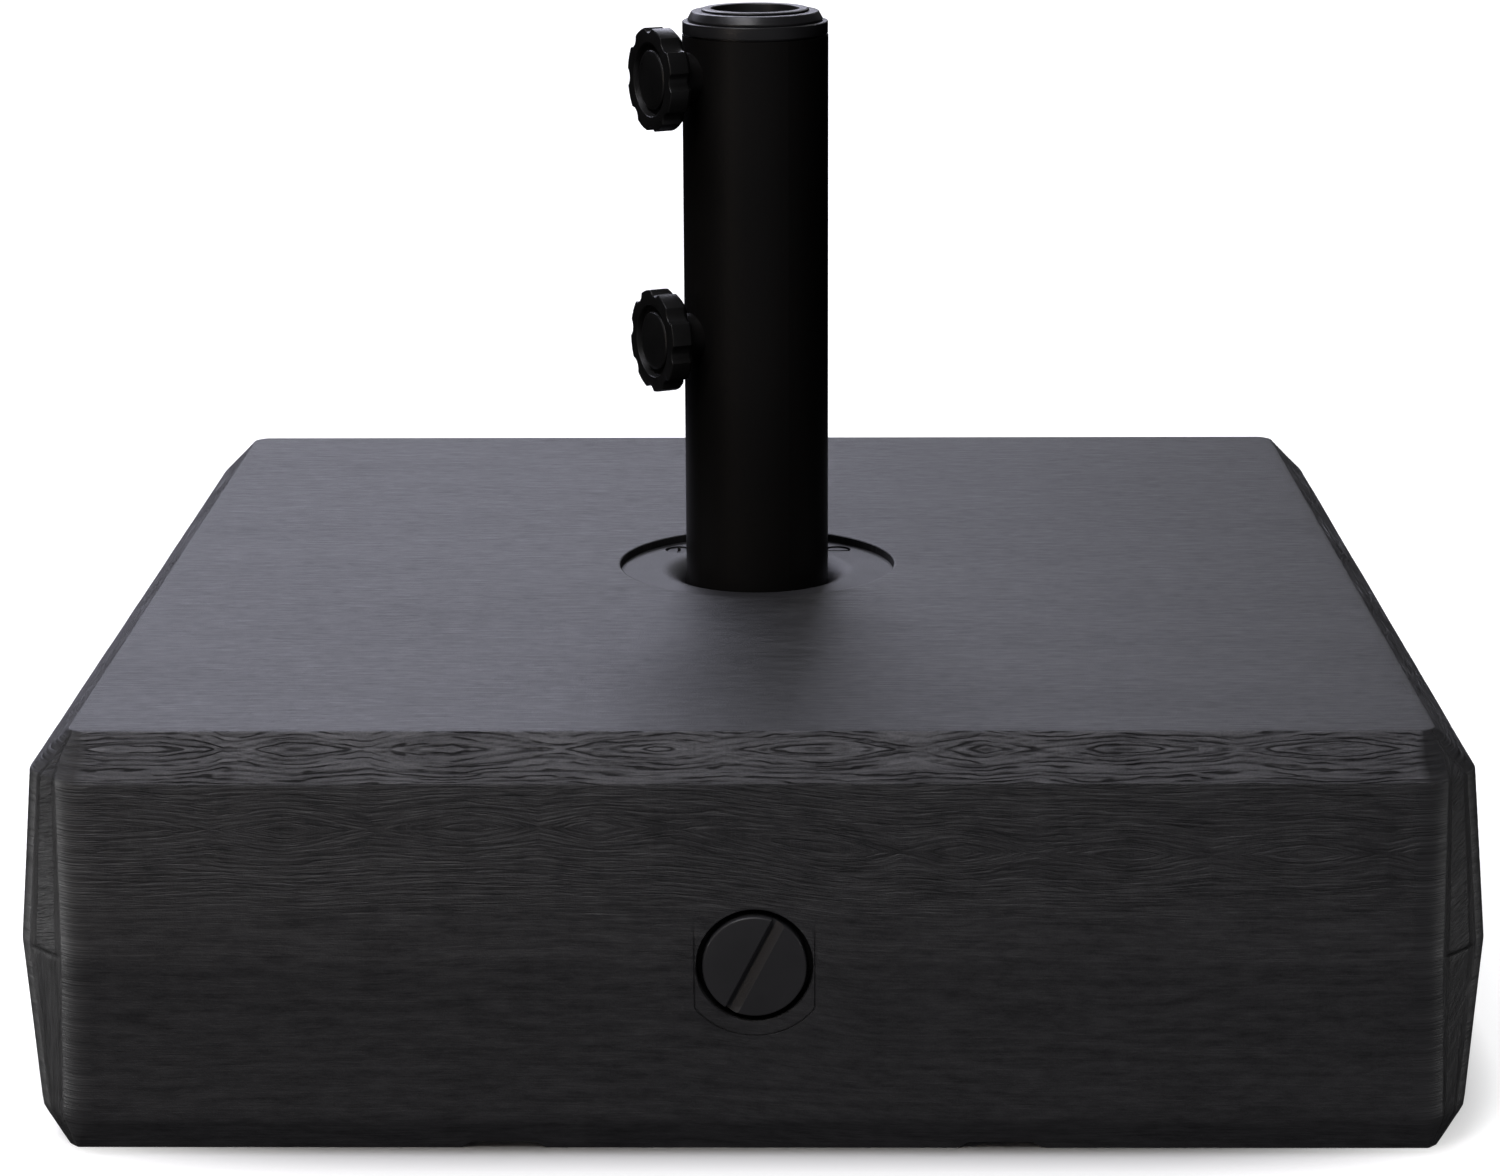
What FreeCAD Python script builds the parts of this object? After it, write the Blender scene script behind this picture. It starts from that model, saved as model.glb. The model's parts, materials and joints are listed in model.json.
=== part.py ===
import FreeCAD, Part
import math
import os

import Sketcher

# Fillable parasol base: a square blow-moulded tank, a steel tube that holds the parasol pole, two clamping
# knobs, a fill plug and nested reducer rings. Millimetres, +Z up. The origin is on the floor at the centre
# of the tank, and the fill plug faces -Y. A "reach" is a distance out from the axis of the tube.

SIZES = [
    # tank outline, level by level: height, half width, and how far each corner is cut back
    ("tank_height", 151, "floor to top face"),
    ("side_top_height", 136.6, "top of the side walls, where the top chamfer starts"),
    ("parting_height", 74.5, "mould parting line, the widest level"),
    ("side_foot_height", 14, "foot of the side walls"),
    ("top_half", 234.8, "half width of the top face"),
    ("side_top_half", 249.2, "half width at the top of the sides"),
    ("parting_half", 255, "half width at the parting line"),
    ("side_foot_half", 250.2, "half width at the foot of the sides"),
    ("floor_half", 240.5, "half width of the face that stands on the floor"),
    ("top_cut", 4, "corner cut of the top face"),
    ("side_top_cut", 16, "corner cut at the top of the sides"),
    ("parting_cut", 22, "corner cut at the parting line"),
    ("side_foot_cut", 14, "corner cut at the foot of the sides"),
    ("floor_cut", 6, "corner cut of the floor face"),
    ("tank_wall", 4, "wall thickness"),
    ("draft_gain", 1, "extra wall where the sides lean"),
    ("edge_softness", 1.5, "fillet on the outer edges of the tank"),
    # channels under the floor
    ("channel_centre", 87, "from the middle of the tank to the middle of a channel"),
    ("channel_mouth_half", 15, "half width at the floor"),
    ("channel_roof_half", 11, "half width at the roof"),
    ("channel_depth", 3, "floor to channel roof"),
    # recesses and tunnel for the tube
    ("collar_seat_radius", 55, "round recess in the top face"),
    ("collar_seat_depth", 8, "depth of that recess"),
    ("foot_seat_radius", 56, "round recess under the floor"),
    ("foot_seat_depth", 8, "depth of that recess"),
    ("tunnel_radius", 31, "through tunnel for the tube"),
    # bosses with threaded inserts
    ("boss_radius", 7, "moulded screw boss"),
    ("boss_length", 16, "boss below or above its recess wall"),
    ("insert_radius", 3.5, "brass insert, outside"),
    ("insert_length", 10, "brass insert"),
    ("insert_hole_depth", 12, "blind hole in the boss"),
    ("screw_circle", 46, "radius of both screw circles"),
    # fill neck and plug
    ("plug_height", 72.5, "height of the plug's axis"),
    ("plug_offset", 1.4, "from the middle of the front face towards +X"),
    ("neck_face", 253.6, "flat pad round the plug, from the tank's middle"),
    ("pad_radius", 25.5, "that pad, its lower edge"),
    ("pad_half_width", 20.5, "its straight sides"),
    ("pad_rise", 21.2, "its straight top edge, above the plug's axis"),
    ("mouth_radius", 20, "counterbore that the plug's head sits in"),
    ("mouth_depth", 8, "depth of the counterbore"),
    ("neck_radius", 14, "threaded neck, bore"),
    ("neck_length", 16, "threaded neck"),
    ("plug_rise", 1, "plug face proud of the pad"),
    ("plug_head_radius", 18, "plug head"),
    ("plug_head_height", 6.5, "plug head"),
    ("plug_shank_radius", 13.95, "plug thread, running fit in the neck"),
    ("plug_shank_length", 17, "plug thread"),
    ("plug_hollow_radius", 10.5, "moulded hollow of the plug"),
    ("plug_slot_width", 4, "coin slot"),
    ("plug_slot_depth", 2.6, "coin slot"),
    ("plug_slot_tilt", 63, "degrees from level"),
    ("seal_height", 2.3, "flat seal ring"),
    ("seal_radius", 17.6, "outside of the seal"),
    ("seal_bore", 14.3, "inside of the seal"),
    # tube
    ("tube_radius", 28.5, "steel tube, 57 mm outside"),
    ("tube_wall", 1.5, "steel tube wall"),
    ("tube_top", 362.6, "top edge of the tube"),
    ("flange_radius", 52, "steel plate at the foot of the tube"),
    ("flange_thickness", 4, "that plate"),
    ("drain_radius", 10, "drain hole in the plate"),
    # collar round the tube
    ("collar_radius", 54.7, "loose in its recess"),
    ("collar_drop", 3, "collar face below the tank's top face"),
    ("collar_dish_radius", 38.5, "where the rounded lip starts"),
    ("collar_bore", 28.9, "bore round the tube"),
    ("collar_sleeve_radius", 30.6, "sleeve that reaches into the tunnel"),
    ("collar_sleeve_length", 9, "that sleeve"),
    ("screw_pocket_radius", 5.6, "pocket for a screw head"),
    ("screw_pocket_depth", 2.6, "that pocket"),
    # screws
    ("screw_radius", 2.5, "shank, thread taken as plain"),
    ("screw_head_radius", 4.6, "pan head"),
    ("screw_head_height", 2.1, "pan head"),
    ("screw_length", 14, "under the head"),
    ("screw_slot_width", 1.2, "driver slot"),
    ("screw_slot_depth", 1.1, "driver slot"),
    # cap and reducer rings
    ("cap_radius", 28.1, "outer band of the cap"),
    ("cap_band_height", 5.4, "outer band of the cap"),
    ("cap_bore", 23.5, "seat for the middle ring"),
    ("skirt_radius", 26.9, "skirt inside the tube"),
    ("skirt_foot", 354, "lowest level of the cap and ring skirts"),
    ("shadow_gap", 0.7, "groove under the band"),
    ("middle_radius", 26.3, "middle ring, foot of its flange"),
    ("middle_top_radius", 24.7, "middle ring, top of its flange"),
    ("middle_flange_height", 3.7, "middle ring"),
    ("middle_skirt_radius", 23.2, "middle ring"),
    ("middle_bore", 19.9, "seat for the inner ring"),
    ("inner_radius", 21, "inner ring flange"),
    ("inner_flange_height", 1, "inner ring"),
    ("inner_skirt_radius", 19.6, "inner ring"),
    ("pole_bore", 17, "bore for the parasol pole"),
    ("ring_lip", 0.6, "chamfer at the ring edges"),
    # knobs
    ("upper_knob_height", 347.5, "axis of the upper knob"),
    ("lower_knob_height", 245.5, "axis of the lower knob"),
    ("knob_heading", 63, "degrees from -Y towards -X"),
    ("upper_knob_spin", 2, "degrees, lobes of the upper knob"),
    ("lower_knob_spin", -7, "degrees, lobes of the lower knob"),
    ("knob_radius", 20, "over the lobes"),
    ("knob_face_reach", 45.7, "outer face"),
    ("knob_thickness", 9.6, "lobed rim"),
    ("knob_hub_reach", 34.9, "end of the hub"),
    ("knob_hub_radius", 7.5, "end of the hub"),
    ("knob_hub_root", 12.5, "root of the hub"),
    ("knob_back_chamfer", 1.8, "back edge of the rim"),
    ("knob_edge", 0.9, "front edge of the rim"),
    ("knob_recess_radius", 14, "dished face"),
    ("knob_recess_depth", 2, "dished face"),
    ("knob_cap_radius", 11.5, "domed insert"),
    ("knob_cap_height", 1.7, "domed insert, at its edge"),
    ("knob_cap_dome", 64, "radius of the dome"),
    ("lobe_count", 8, "lobes and notches"),
    ("notch_radius", 4, "scallop between two lobes"),
    ("notch_depth", 1.7, "scallop between two lobes"),
    ("bolt_radius", 4, "M8, thread taken as plain"),
    ("bolt_head_flats", 13, "across flats"),
    ("bolt_head_height", 5.3, "hexagon head"),
    ("bolt_head_reach", 37.7, "underside of the head"),
    ("bolt_shoulder_reach", 21.5, "end of the thread"),
    ("spigot_radius", 2.5, "tip that holds the pad"),
    ("spigot_reach", 18.7, "end of the tip"),
    ("press_pad_radius", 5, "swivel pad"),
    ("press_pad_reach", 17.3, "face that grips the pole"),
    ("press_pad_length", 4, "swivel pad"),
    ("press_pad_socket", 2.8, "depth of its socket"),
    ("running_gap", 0.05, "radial gap of a running fit"),
    ("nut_radius", 9.5, "weld nut on the tube"),
    ("nut_reach", 34.3, "outer face of the weld nut"),
]

doc = FreeCAD.newDocument("ParasolBase")
sheet = doc.addObject("Spreadsheet::Sheet", "dim")
for row, (alias, number, note) in enumerate(SIZES, start=1):
    sheet.set(f"A{row}", alias)
    sheet.set(f"B{row}", str(number))
    sheet.set(f"C{row}", note)
    sheet.setAlias(f"B{row}", alias)
doc.recompute()
reader = doc.addObject("App::FeaturePython", "reader")


def size(expression):
    """The value of an expression in the sheet's names."""
    return float(reader.evalExpression(expression))


def new_body(name):
    body = doc.addObject("PartDesign::Body", name)
    body.Label = name
    return body


def new_sketch(body, name, plane, offset=None):
    """A sketch on one of the body's own origin planes, moved along the plane's normal by offset."""
    sketch = body.newObject("Sketcher::SketchObject", f"{body.Name}_{name}_sketch")
    support = [f for f in body.Origin.OriginFeatures if f.Role == plane][0]
    sketch.AttachmentSupport = [(support, "")]
    sketch.MapMode = "FlatFace"
    if offset:
        sketch.setExpression("AttachmentOffset.Base.z", offset)
    return sketch


def bind(sketch, kind, where, expression):
    """Adds a constraint whose value is an expression in the sheet's names."""
    index = sketch.addConstraint(Sketcher.Constraint(kind, *where, size(expression)))
    name = f"{kind}_{index}"
    sketch.renameConstraint(index, name)
    sketch.setExpression(f"Constraints.{name}", expression)


def arc_between(start, end, radius):
    """An arc from start to end: its centre is on the left of the way for a positive radius."""
    chord = end - start
    height = math.sqrt(radius**2 - (chord.Length / 2) ** 2)
    left = FreeCAD.Vector(-chord.y, chord.x, 0).normalize()
    centre = (start + end) / 2 + left * math.copysign(height, radius)
    first, last = (start, end) if radius > 0 else (end, start)
    turns = [math.atan2(p.y - centre.y, p.x - centre.x) for p in (first, last)]
    circle = Part.Circle(centre, FreeCAD.Vector(0, 0, 1), abs(radius))
    return Part.ArcOfCircle(circle, turns[0], turns[1])


def outline(sketch, corners):
    """A closed outline of corners (x, y), or (x, y, radius) where an arc runs on to the next corner."""
    first = sketch.GeometryCount
    places = [FreeCAD.Vector(size(c[0]), size(c[1]), 0) for c in corners]
    ends = []
    for index, corner in enumerate(corners):
        start, end = places[index], places[(index + 1) % len(corners)]
        radius = size(corner[2]) if len(corner) == 3 else 0
        edge = arc_between(start, end, radius) if radius else Part.LineSegment(start, end)
        sketch.addGeometry(edge, False)
        ends.append((2, 1) if radius < 0 else (1, 2))
    for index, corner in enumerate(corners):
        following = (index + 1) % len(corners)
        here, there = first + index, first + following
        joint = (here, ends[index][1], there, ends[following][0])
        sketch.addConstraint(Sketcher.Constraint("Coincident", *joint))
        bind(sketch, "DistanceX", (-1, 1, here, ends[index][0]), corner[0])
        bind(sketch, "DistanceY", (-1, 1, here, ends[index][0]), corner[1])
        if len(corner) == 3:
            bind(sketch, "Radius", (here,), f"abs({corner[2]})")


def disc(sketch, radius, x="0", y="0"):
    centre = FreeCAD.Vector(size(x), size(y), 0)
    circle = Part.Circle(centre, FreeCAD.Vector(0, 0, 1), size(radius))
    index = sketch.addGeometry(circle, False)
    bind(sketch, "DistanceX", (-1, 1, index, 3), x)
    bind(sketch, "DistanceY", (-1, 1, index, 3), y)
    bind(sketch, "Radius", (index,), radius)


def add_feature(body, kind, name, sketch):
    """Adds a feature made from a sketch, and returns it with the body's volume before it."""
    base = body.Tip
    before = base.Shape.Volume if base is not None else 0.0
    feature = body.newObject(f"PartDesign::{kind}", f"{body.Name}_{name}")
    feature.Profile = sketch
    sketch.Visibility = False
    return feature, before


def check_change(feature, before, grows):
    """Stops if a feature points the wrong way, so that it changes nothing or the wrong thing."""
    doc.recompute()
    gain = feature.Shape.Volume - before
    if (gain if grows else -gain) < 0.01:
        raise RuntimeError(f"{feature.Name} changes the volume by {gain:.3f} mm3")


def pad(body, name, sketch, length, reverse=False):
    feature, before = add_feature(body, "Pad", name, sketch)
    feature.setExpression("Length", length)
    feature.Reversed = reverse
    check_change(feature, before, True)
    return feature


def pocket(body, name, sketch, length, reverse=False):
    feature, before = add_feature(body, "Pocket", name, sketch)
    feature.setExpression("Length", length)
    feature.Reversed = reverse
    check_change(feature, before, False)
    return feature


def turn(body, name, corners, cuts=False):
    """Revolves an outline in the body's XZ plane about its Z axis, to add it or to cut it away."""
    sketch = new_sketch(body, name, "XZ_Plane")
    outline(sketch, corners)
    feature, before = add_feature(body, "Groove" if cuts else "Revolution", name, sketch)
    feature.ReferenceAxis = (sketch, ["V_Axis"])
    feature.Angle = 360
    check_change(feature, before, not cuts)
    return feature


def polar(body, name, features, count, angle=360):
    """Repeats features about the body's Z axis."""
    pattern = body.newObject("PartDesign::PolarPattern", f"{body.Name}_{name}")
    axis = [f for f in body.Origin.OriginFeatures if f.Role == "Z_Axis"][0]
    pattern.Originals = features
    pattern.Axis = (axis, [""])
    pattern.Angle = angle
    pattern.Occurrences = count
    body.Tip = pattern
    doc.recompute()
    return pattern


def place(thing, x="0", y="0", z="0", rotation=FreeCAD.Rotation()):
    """Puts a sub-part in the frame, with its position bound to the sheet."""
    base = FreeCAD.Vector(size(x), size(y), size(z))
    thing.Placement = FreeCAD.Placement(base, rotation)
    for axis, expression in zip("xyz", (x, y, z)):
        if expression != "0":
            thing.setExpression(f"Placement.Base.{axis}", expression)
    return thing


def rotation_about(axis, degrees):
    return FreeCAD.Rotation(FreeCAD.Vector(*axis), degrees)


FACING_OUT = rotation_about((1, 0, 0), 90)  # turns a piece's own +Z to -Y, and its +Y up
SCREW_X = SCREW_Y = "dim.screw_circle * cos(45 * 1 deg)"  # the first screw of each group


def wedge(name, levels, across, turned):
    """A four-sided frustum between two levels. across gives the half width of each level."""
    frustum = doc.addObject("Part::Wedge", name)
    for prop, level in (("Y", 0), ("Y2", 1)):
        low, high = f"-({across[level]})", across[level]
        number = prop[1:]
        for side in "XZ":
            frustum.setExpression(f"{side}{number}min", low)
            frustum.setExpression(f"{side}{number}max", high)
    frustum.setExpression("Ymin", levels[0])
    frustum.setExpression("Ymax", levels[1])
    upright = rotation_about((0, 0, 1), turned).multiply(FACING_OUT)
    frustum.Placement = FreeCAD.Placement(FreeCAD.Vector(), upright)
    return frustum


def stacked_form(name, levels):
    """Cut-cornered square frusta on top of each other, each level given as (height, half width, corner cut).

    Each frustum is a square one and another turned by 45 degrees, whose common part has flat corner facets.
    """
    storeys = []
    for number, (low, high) in enumerate(zip(levels, levels[1:])):
        heights = (low[0], high[0])
        square = wedge(f"{name}_square_{number}", heights, (low[1], high[1]), 0)
        facets = [f"(2 * ({half}) - ({cut})) / sqrt(2)" for _, half, cut in (low, high)]
        diamond = wedge(f"{name}_diamond_{number}", heights, facets, 45)
        storey = doc.addObject("Part::Common", f"{name}_storey_{number}")
        storey.Base, storey.Tool = square, diamond
        storeys.append(storey)
    form = doc.addObject("Part::MultiFuse", name)
    form.Shapes = storeys
    form.Refine = True
    doc.recompute()
    return form


def softened(form):
    """The form with every outer edge above the floor rounded."""
    radius = size("dim.edge_softness")
    rounded = doc.addObject("Part::Fillet", f"{form.Name}_rounded")
    rounded.Base = form
    upper = [n for n, edge in enumerate(form.Shape.Edges, start=1) if edge.BoundBox.ZMax > 1]
    rounded.Edges = [(number, radius, radius) for number in upper]
    return rounded


def make_tank_shell():
    outer = [
        ("0", "dim.floor_half", "dim.floor_cut"),
        ("dim.side_foot_height", "dim.side_foot_half", "dim.side_foot_cut"),
        ("dim.parting_height", "dim.parting_half", "dim.parting_cut"),
        ("dim.side_top_height", "dim.side_top_half", "dim.side_top_cut"),
        ("dim.tank_height", "dim.top_half", "dim.top_cut"),
    ]
    inset = "(dim.tank_wall + dim.draft_gain)"
    inner = [
        ("dim.tank_wall", "dim.floor_half - 3 * dim.draft_gain", "dim.floor_cut"),
        ("dim.side_foot_height + 1", f"dim.side_foot_half - {inset}", "dim.side_foot_cut"),
        ("dim.parting_height", "dim.parting_half - dim.tank_wall", "dim.parting_cut"),
        ("dim.side_top_height - 1", f"dim.side_top_half - {inset}", "dim.side_top_cut"),
        ("dim.tank_height - dim.tank_wall", "dim.top_half - 2 * dim.draft_gain", "dim.top_cut"),
    ]
    hollow = doc.addObject("Part::Cut", "tank_hollow")
    hollow.Base = softened(stacked_form("tank_outside", outer))
    hollow.Tool = stacked_form("tank_inside", inner)
    body = new_body("tank_shell")
    body.BaseFeature = hollow
    doc.recompute()
    add_tunnel(body)
    add_channels(body)
    add_bosses(body, "foot", "dim.foot_seat_depth + dim.tank_wall", "dim.foot_seat_depth", False, 4, 360)
    top = "dim.tank_height - dim.collar_seat_depth"
    add_bosses(body, "collar", f"{top} - dim.tank_wall", top, True, 2, 90)
    add_fill_neck(body)
    return place(body)


def add_tunnel(body):
    """The tunnel for the tube, with a round recess at each end of it."""
    seat = "dim.tank_height - dim.collar_seat_depth"
    foot = "dim.foot_seat_depth"
    shaft = "dim.tunnel_radius + dim.tank_wall"
    cup = "dim.collar_seat_radius + dim.tank_wall"
    dish = "dim.foot_seat_radius + dim.tank_wall"
    turn(
        body,
        "tunnel_wall",
        [
            ("dim.tunnel_radius", foot),
            ("dim.foot_seat_radius", foot),
            ("dim.foot_seat_radius", "1"),
            (dish, "1"),
            (dish, f"{foot} + dim.tank_wall"),
            (shaft, f"{foot} + dim.tank_wall"),
            (shaft, f"{seat} - dim.tank_wall"),
            (cup, f"{seat} - dim.tank_wall"),
            (cup, "dim.tank_height - 1"),
            ("dim.collar_seat_radius", "dim.tank_height - 1"),
            ("dim.collar_seat_radius", seat),
            ("dim.tunnel_radius", seat),
        ],
    )
    turn(
        body,
        "tunnel_bore",
        [
            ("0", "-1"),
            ("dim.foot_seat_radius", "-1"),
            ("dim.foot_seat_radius", foot),
            ("dim.tunnel_radius", foot),
            ("dim.tunnel_radius", seat),
            ("dim.collar_seat_radius", seat),
            ("dim.collar_seat_radius", "dim.tank_height + 1"),
            ("0", "dim.tank_height + 1"),
        ],
        cuts=True,
    )


def add_channels(body):
    """Two channels across the underside, front to back, with the tank's wall carried round them."""
    rib_half = "dim.channel_roof_half + dim.tank_wall"
    rib_foot = "dim.channel_mouth_half + dim.tank_wall"
    rib_top = "dim.channel_depth + dim.tank_wall"
    run = "dim.floor_half"
    for side, sign in (("left", "-1"), ("right", "1")):
        centre = f"{sign} * dim.channel_centre"
        rib = new_sketch(body, f"rib_{side}", "XZ_Plane", run)
        outline(
            rib,
            [
                (f"{centre} - {rib_foot}", "1"),
                (f"{centre} + {rib_foot}", "1"),
                (f"{centre} + {rib_half}", rib_top),
                (f"{centre} - ({rib_half})", rib_top),
            ],
        )
        pad(body, f"rib_{side}_pad", rib, f"2 * {run}", reverse=True)
        groove = new_sketch(body, f"channel_{side}", "XZ_Plane", "dim.parting_half")
        outline(
            groove,
            [
                (f"{centre} - dim.channel_mouth_half", "0"),
                (f"{centre} + dim.channel_mouth_half", "0"),
                (f"{centre} + dim.channel_roof_half", "dim.channel_depth"),
                (f"{centre} - dim.channel_roof_half", "dim.channel_depth"),
            ],
        )
        pocket(body, f"channel_{side}_cut", groove, "2 * dim.parting_half")


def add_bosses(body, name, root, mouth, hangs, count, angle):
    """Screw bosses inside the tank, each with a blind hole for an insert."""
    blank = new_sketch(body, f"{name}_boss", "XY_Plane", root)
    disc(blank, "dim.boss_radius", SCREW_X, SCREW_Y)
    boss = pad(body, f"{name}_boss_pad", blank, "dim.boss_length", reverse=hangs)
    polar(body, f"{name}_bosses", [boss], count, angle)
    hole = new_sketch(body, f"{name}_hole", "XY_Plane", mouth)
    disc(hole, "dim.insert_radius", SCREW_X, SCREW_Y)
    bored = pocket(body, f"{name}_hole_cut", hole, "dim.insert_hole_depth", reverse=not hangs)
    polar(body, f"{name}_holes", [bored], count, angle)


def pad_outline(sketch):
    """Straight sides and a straight top, with an arc about the plug's axis for its lower edge."""
    left = "dim.plug_offset - dim.pad_half_width"
    right = "dim.plug_offset + dim.pad_half_width"
    top = "dim.plug_height + dim.pad_rise"
    bottom = "dim.plug_height - sqrt(dim.pad_radius ^ 2 - dim.pad_half_width ^ 2)"
    outline(sketch, [(left, bottom, "dim.pad_radius"), (right, bottom), (right, top), (left, top)])


def add_fill_neck(body):
    """The flat pad on the front face, and the counterbored, threaded neck behind it."""
    wall = "dim.tank_wall"
    face = new_sketch(body, "neck_pad", "XZ_Plane", "dim.neck_face")
    pad_outline(face)
    pad(body, "neck_pad_block", face, f"1.5 * {wall}", reverse=True)
    trim = new_sketch(body, "neck_trim", "XZ_Plane", "dim.neck_face")
    pad_outline(trim)
    pocket(body, "neck_trim_cut", trim, wall, reverse=True)
    shoulder = "dim.neck_face - dim.mouth_depth"
    mouth_start, mouth_length = f"dim.neck_face - 0.5 * {wall}", f"dim.mouth_depth + 0.5 * {wall}"
    steps = [
        ("mouth_wall", f"dim.mouth_radius + {wall}", mouth_start, mouth_length),
        ("neck_wall", f"dim.neck_radius + {wall}", shoulder, "dim.neck_length"),
    ]
    for name, radius, start, length in steps:
        ring = new_sketch(body, name, "XZ_Plane", start)
        disc(ring, radius, "dim.plug_offset", "dim.plug_height")
        pad(body, f"{name}_pad", ring, length, reverse=True)
    holes = [
        ("mouth", "dim.mouth_radius", "dim.neck_face", "dim.mouth_depth"),
        ("neck", "dim.neck_radius", shoulder, "dim.neck_length + 1"),
    ]
    for name, radius, start, length in holes:
        hole = new_sketch(body, name, "XZ_Plane", start)
        disc(hole, radius, "dim.plug_offset", "dim.plug_height")
        pocket(body, f"{name}_cut", hole, length)


def at_plug(thing, rotation):
    """Puts a piece on the plug's axis, with its own 0 at the plug's face."""
    return place(thing, "dim.plug_offset", "-(dim.neck_face + dim.plug_rise)", "dim.plug_height", rotation)


def make_fill_plug():
    """Own frame: +Z is the way out of the tank, and 0 is the plug's face."""
    body = new_body("fill_plug")
    back = "-dim.plug_head_height"
    end = f"{back} - dim.plug_shank_length"
    turn(
        body,
        "form",
        [
            ("0", "0"),
            ("dim.plug_head_radius - dim.ring_lip", "0"),
            ("dim.plug_head_radius", "-dim.ring_lip"),
            ("dim.plug_head_radius", back),
            ("dim.plug_shank_radius", back),
            ("dim.plug_shank_radius", end),
            ("dim.plug_hollow_radius", end),
            ("dim.plug_hollow_radius", back),
            ("0", back),
        ],
    )
    slot = new_sketch(body, "slot", "XY_Plane")
    reach, half = "(dim.plug_head_radius + 1)", "dim.plug_slot_width / 2"
    outline(slot, [(f"-{reach}", f"-{half}"), (reach, f"-{half}"), (reach, half), (f"-{reach}", half)])
    pocket(body, "slot_cut", slot, "dim.plug_slot_depth")
    tilt = FACING_OUT.multiply(rotation_about((0, 0, 1), size("dim.plug_slot_tilt")))
    return at_plug(body, tilt)


def make_plug_seal():
    body = new_body("plug_seal")
    top = "-(dim.plug_head_height + dim.running_gap)"
    foot = f"{top} - dim.seal_height"
    bore, rim = "dim.seal_bore", "dim.seal_radius"
    turn(body, "form", [(bore, foot), (rim, foot), (rim, top), (bore, top)])
    return at_plug(body, FACING_OUT)


def make_post_tube():
    """Own frame: the knobs are on the -Y side."""
    body = new_body("post_tube")
    inside = "dim.tube_radius - dim.tube_wall"
    foot = "dim.foot_seat_depth"
    outside = "dim.tube_radius"
    turn(body, "form", [(inside, foot), (outside, foot), (outside, "dim.tube_top"), (inside, "dim.tube_top")])
    holes = new_sketch(body, "bolt_holes", "XZ_Plane")
    for height in ("dim.upper_knob_height", "dim.lower_knob_height"):
        disc(holes, "dim.bolt_radius + 0.3", "0", height)
    pocket(body, "bolt_holes_cut", holes, "dim.tube_radius + 1", reverse=True)
    return place(body, rotation=rotation_about((0, 0, 1), -size("dim.knob_heading")))


def make_foot_flange():
    body = new_body("foot_flange")
    under = "dim.foot_seat_depth - dim.flange_thickness"
    plate = new_sketch(body, "plate", "XY_Plane", under)
    disc(plate, "dim.flange_radius")
    disc(plate, "dim.drain_radius")
    pad(body, "plate_pad", plate, "dim.flange_thickness")
    hole = new_sketch(body, "hole", "XY_Plane", under)
    disc(hole, "dim.screw_radius + 0.3", SCREW_X, SCREW_Y)
    bored = pocket(body, "hole_cut", hole, "dim.flange_thickness", reverse=True)
    polar(body, "holes", [bored], 4)
    return place(body)


def make_screws(name, seat, points_up, count, angle):
    """Pan-head screws on the screw circle, with the underside of each head at the level called seat."""
    body = new_body(name)
    way = "1" if points_up else "-1"
    head = new_sketch(body, "head", "XY_Plane", seat)
    disc(head, "dim.screw_head_radius", SCREW_X, SCREW_Y)
    cap = pad(body, "head_pad", head, "dim.screw_head_height", reverse=points_up)
    shank = new_sketch(body, "shank", "XY_Plane", seat)
    disc(shank, "dim.screw_radius", SCREW_X, SCREW_Y)
    stem = pad(body, "shank_pad", shank, "dim.screw_length", reverse=not points_up)
    face = f"{seat} - ({way}) * dim.screw_head_height"
    slot = new_sketch(body, "slot", "XY_Plane", face)
    half, reach = "dim.screw_slot_width / 2", "(dim.screw_head_radius + 1)"
    outline(
        slot,
        [
            (f"{SCREW_X} - {reach}", f"{SCREW_Y} - {half}"),
            (f"{SCREW_X} + {reach}", f"{SCREW_Y} - {half}"),
            (f"{SCREW_X} + {reach}", f"{SCREW_Y} + {half}"),
            (f"{SCREW_X} - {reach}", f"{SCREW_Y} + {half}"),
        ],
    )
    cut = pocket(body, "slot_cut", slot, "dim.screw_slot_depth", reverse=points_up)
    polar(body, "group", [cap, stem, cut], count, angle)
    return place(body)


def make_inserts(name, mouth, hangs, count, angle):
    """Threaded brass inserts in the bosses, flush with the mouth of each hole."""
    body = new_body(name)
    ring = new_sketch(body, "ring", "XY_Plane", mouth)
    disc(ring, "dim.insert_radius", SCREW_X, SCREW_Y)
    disc(ring, "dim.screw_radius + dim.running_gap", SCREW_X, SCREW_Y)
    sleeve = pad(body, "ring_pad", ring, "dim.insert_length", reverse=hangs)
    polar(body, "group", [sleeve], count, angle)
    return place(body)


def make_socket_collar():
    """The plastic collar that centres the tube in the tank, with a rounded lip round the tube."""
    body = new_body("socket_collar")
    seat = "dim.tank_height - dim.collar_seat_depth"
    face = "dim.tank_height - dim.collar_drop"
    lip = "dim.collar_dish_radius - dim.collar_bore"
    turn(
        body,
        "form",
        [
            ("dim.collar_bore", f"{seat} - dim.collar_sleeve_length"),
            ("dim.collar_sleeve_radius", f"{seat} - dim.collar_sleeve_length"),
            ("dim.collar_sleeve_radius", seat),
            ("dim.collar_radius", seat),
            ("dim.collar_radius", face),
            ("dim.collar_dish_radius", face, lip),
            ("dim.collar_bore", f"{face} - ({lip})"),
        ],
    )
    head = new_sketch(body, "head", "XY_Plane", face)
    disc(head, "dim.screw_pocket_radius", SCREW_X, SCREW_Y)
    sunk = pocket(body, "head_cut", head, "dim.screw_pocket_depth")
    hole = new_sketch(body, "hole", "XY_Plane", face)
    disc(hole, "dim.screw_radius + 0.3", SCREW_X, SCREW_Y)
    bored = pocket(body, "hole_cut", hole, "dim.collar_seat_depth")
    polar(body, "screw_places", [sunk, bored], 2, 90)
    return place(body)


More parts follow.
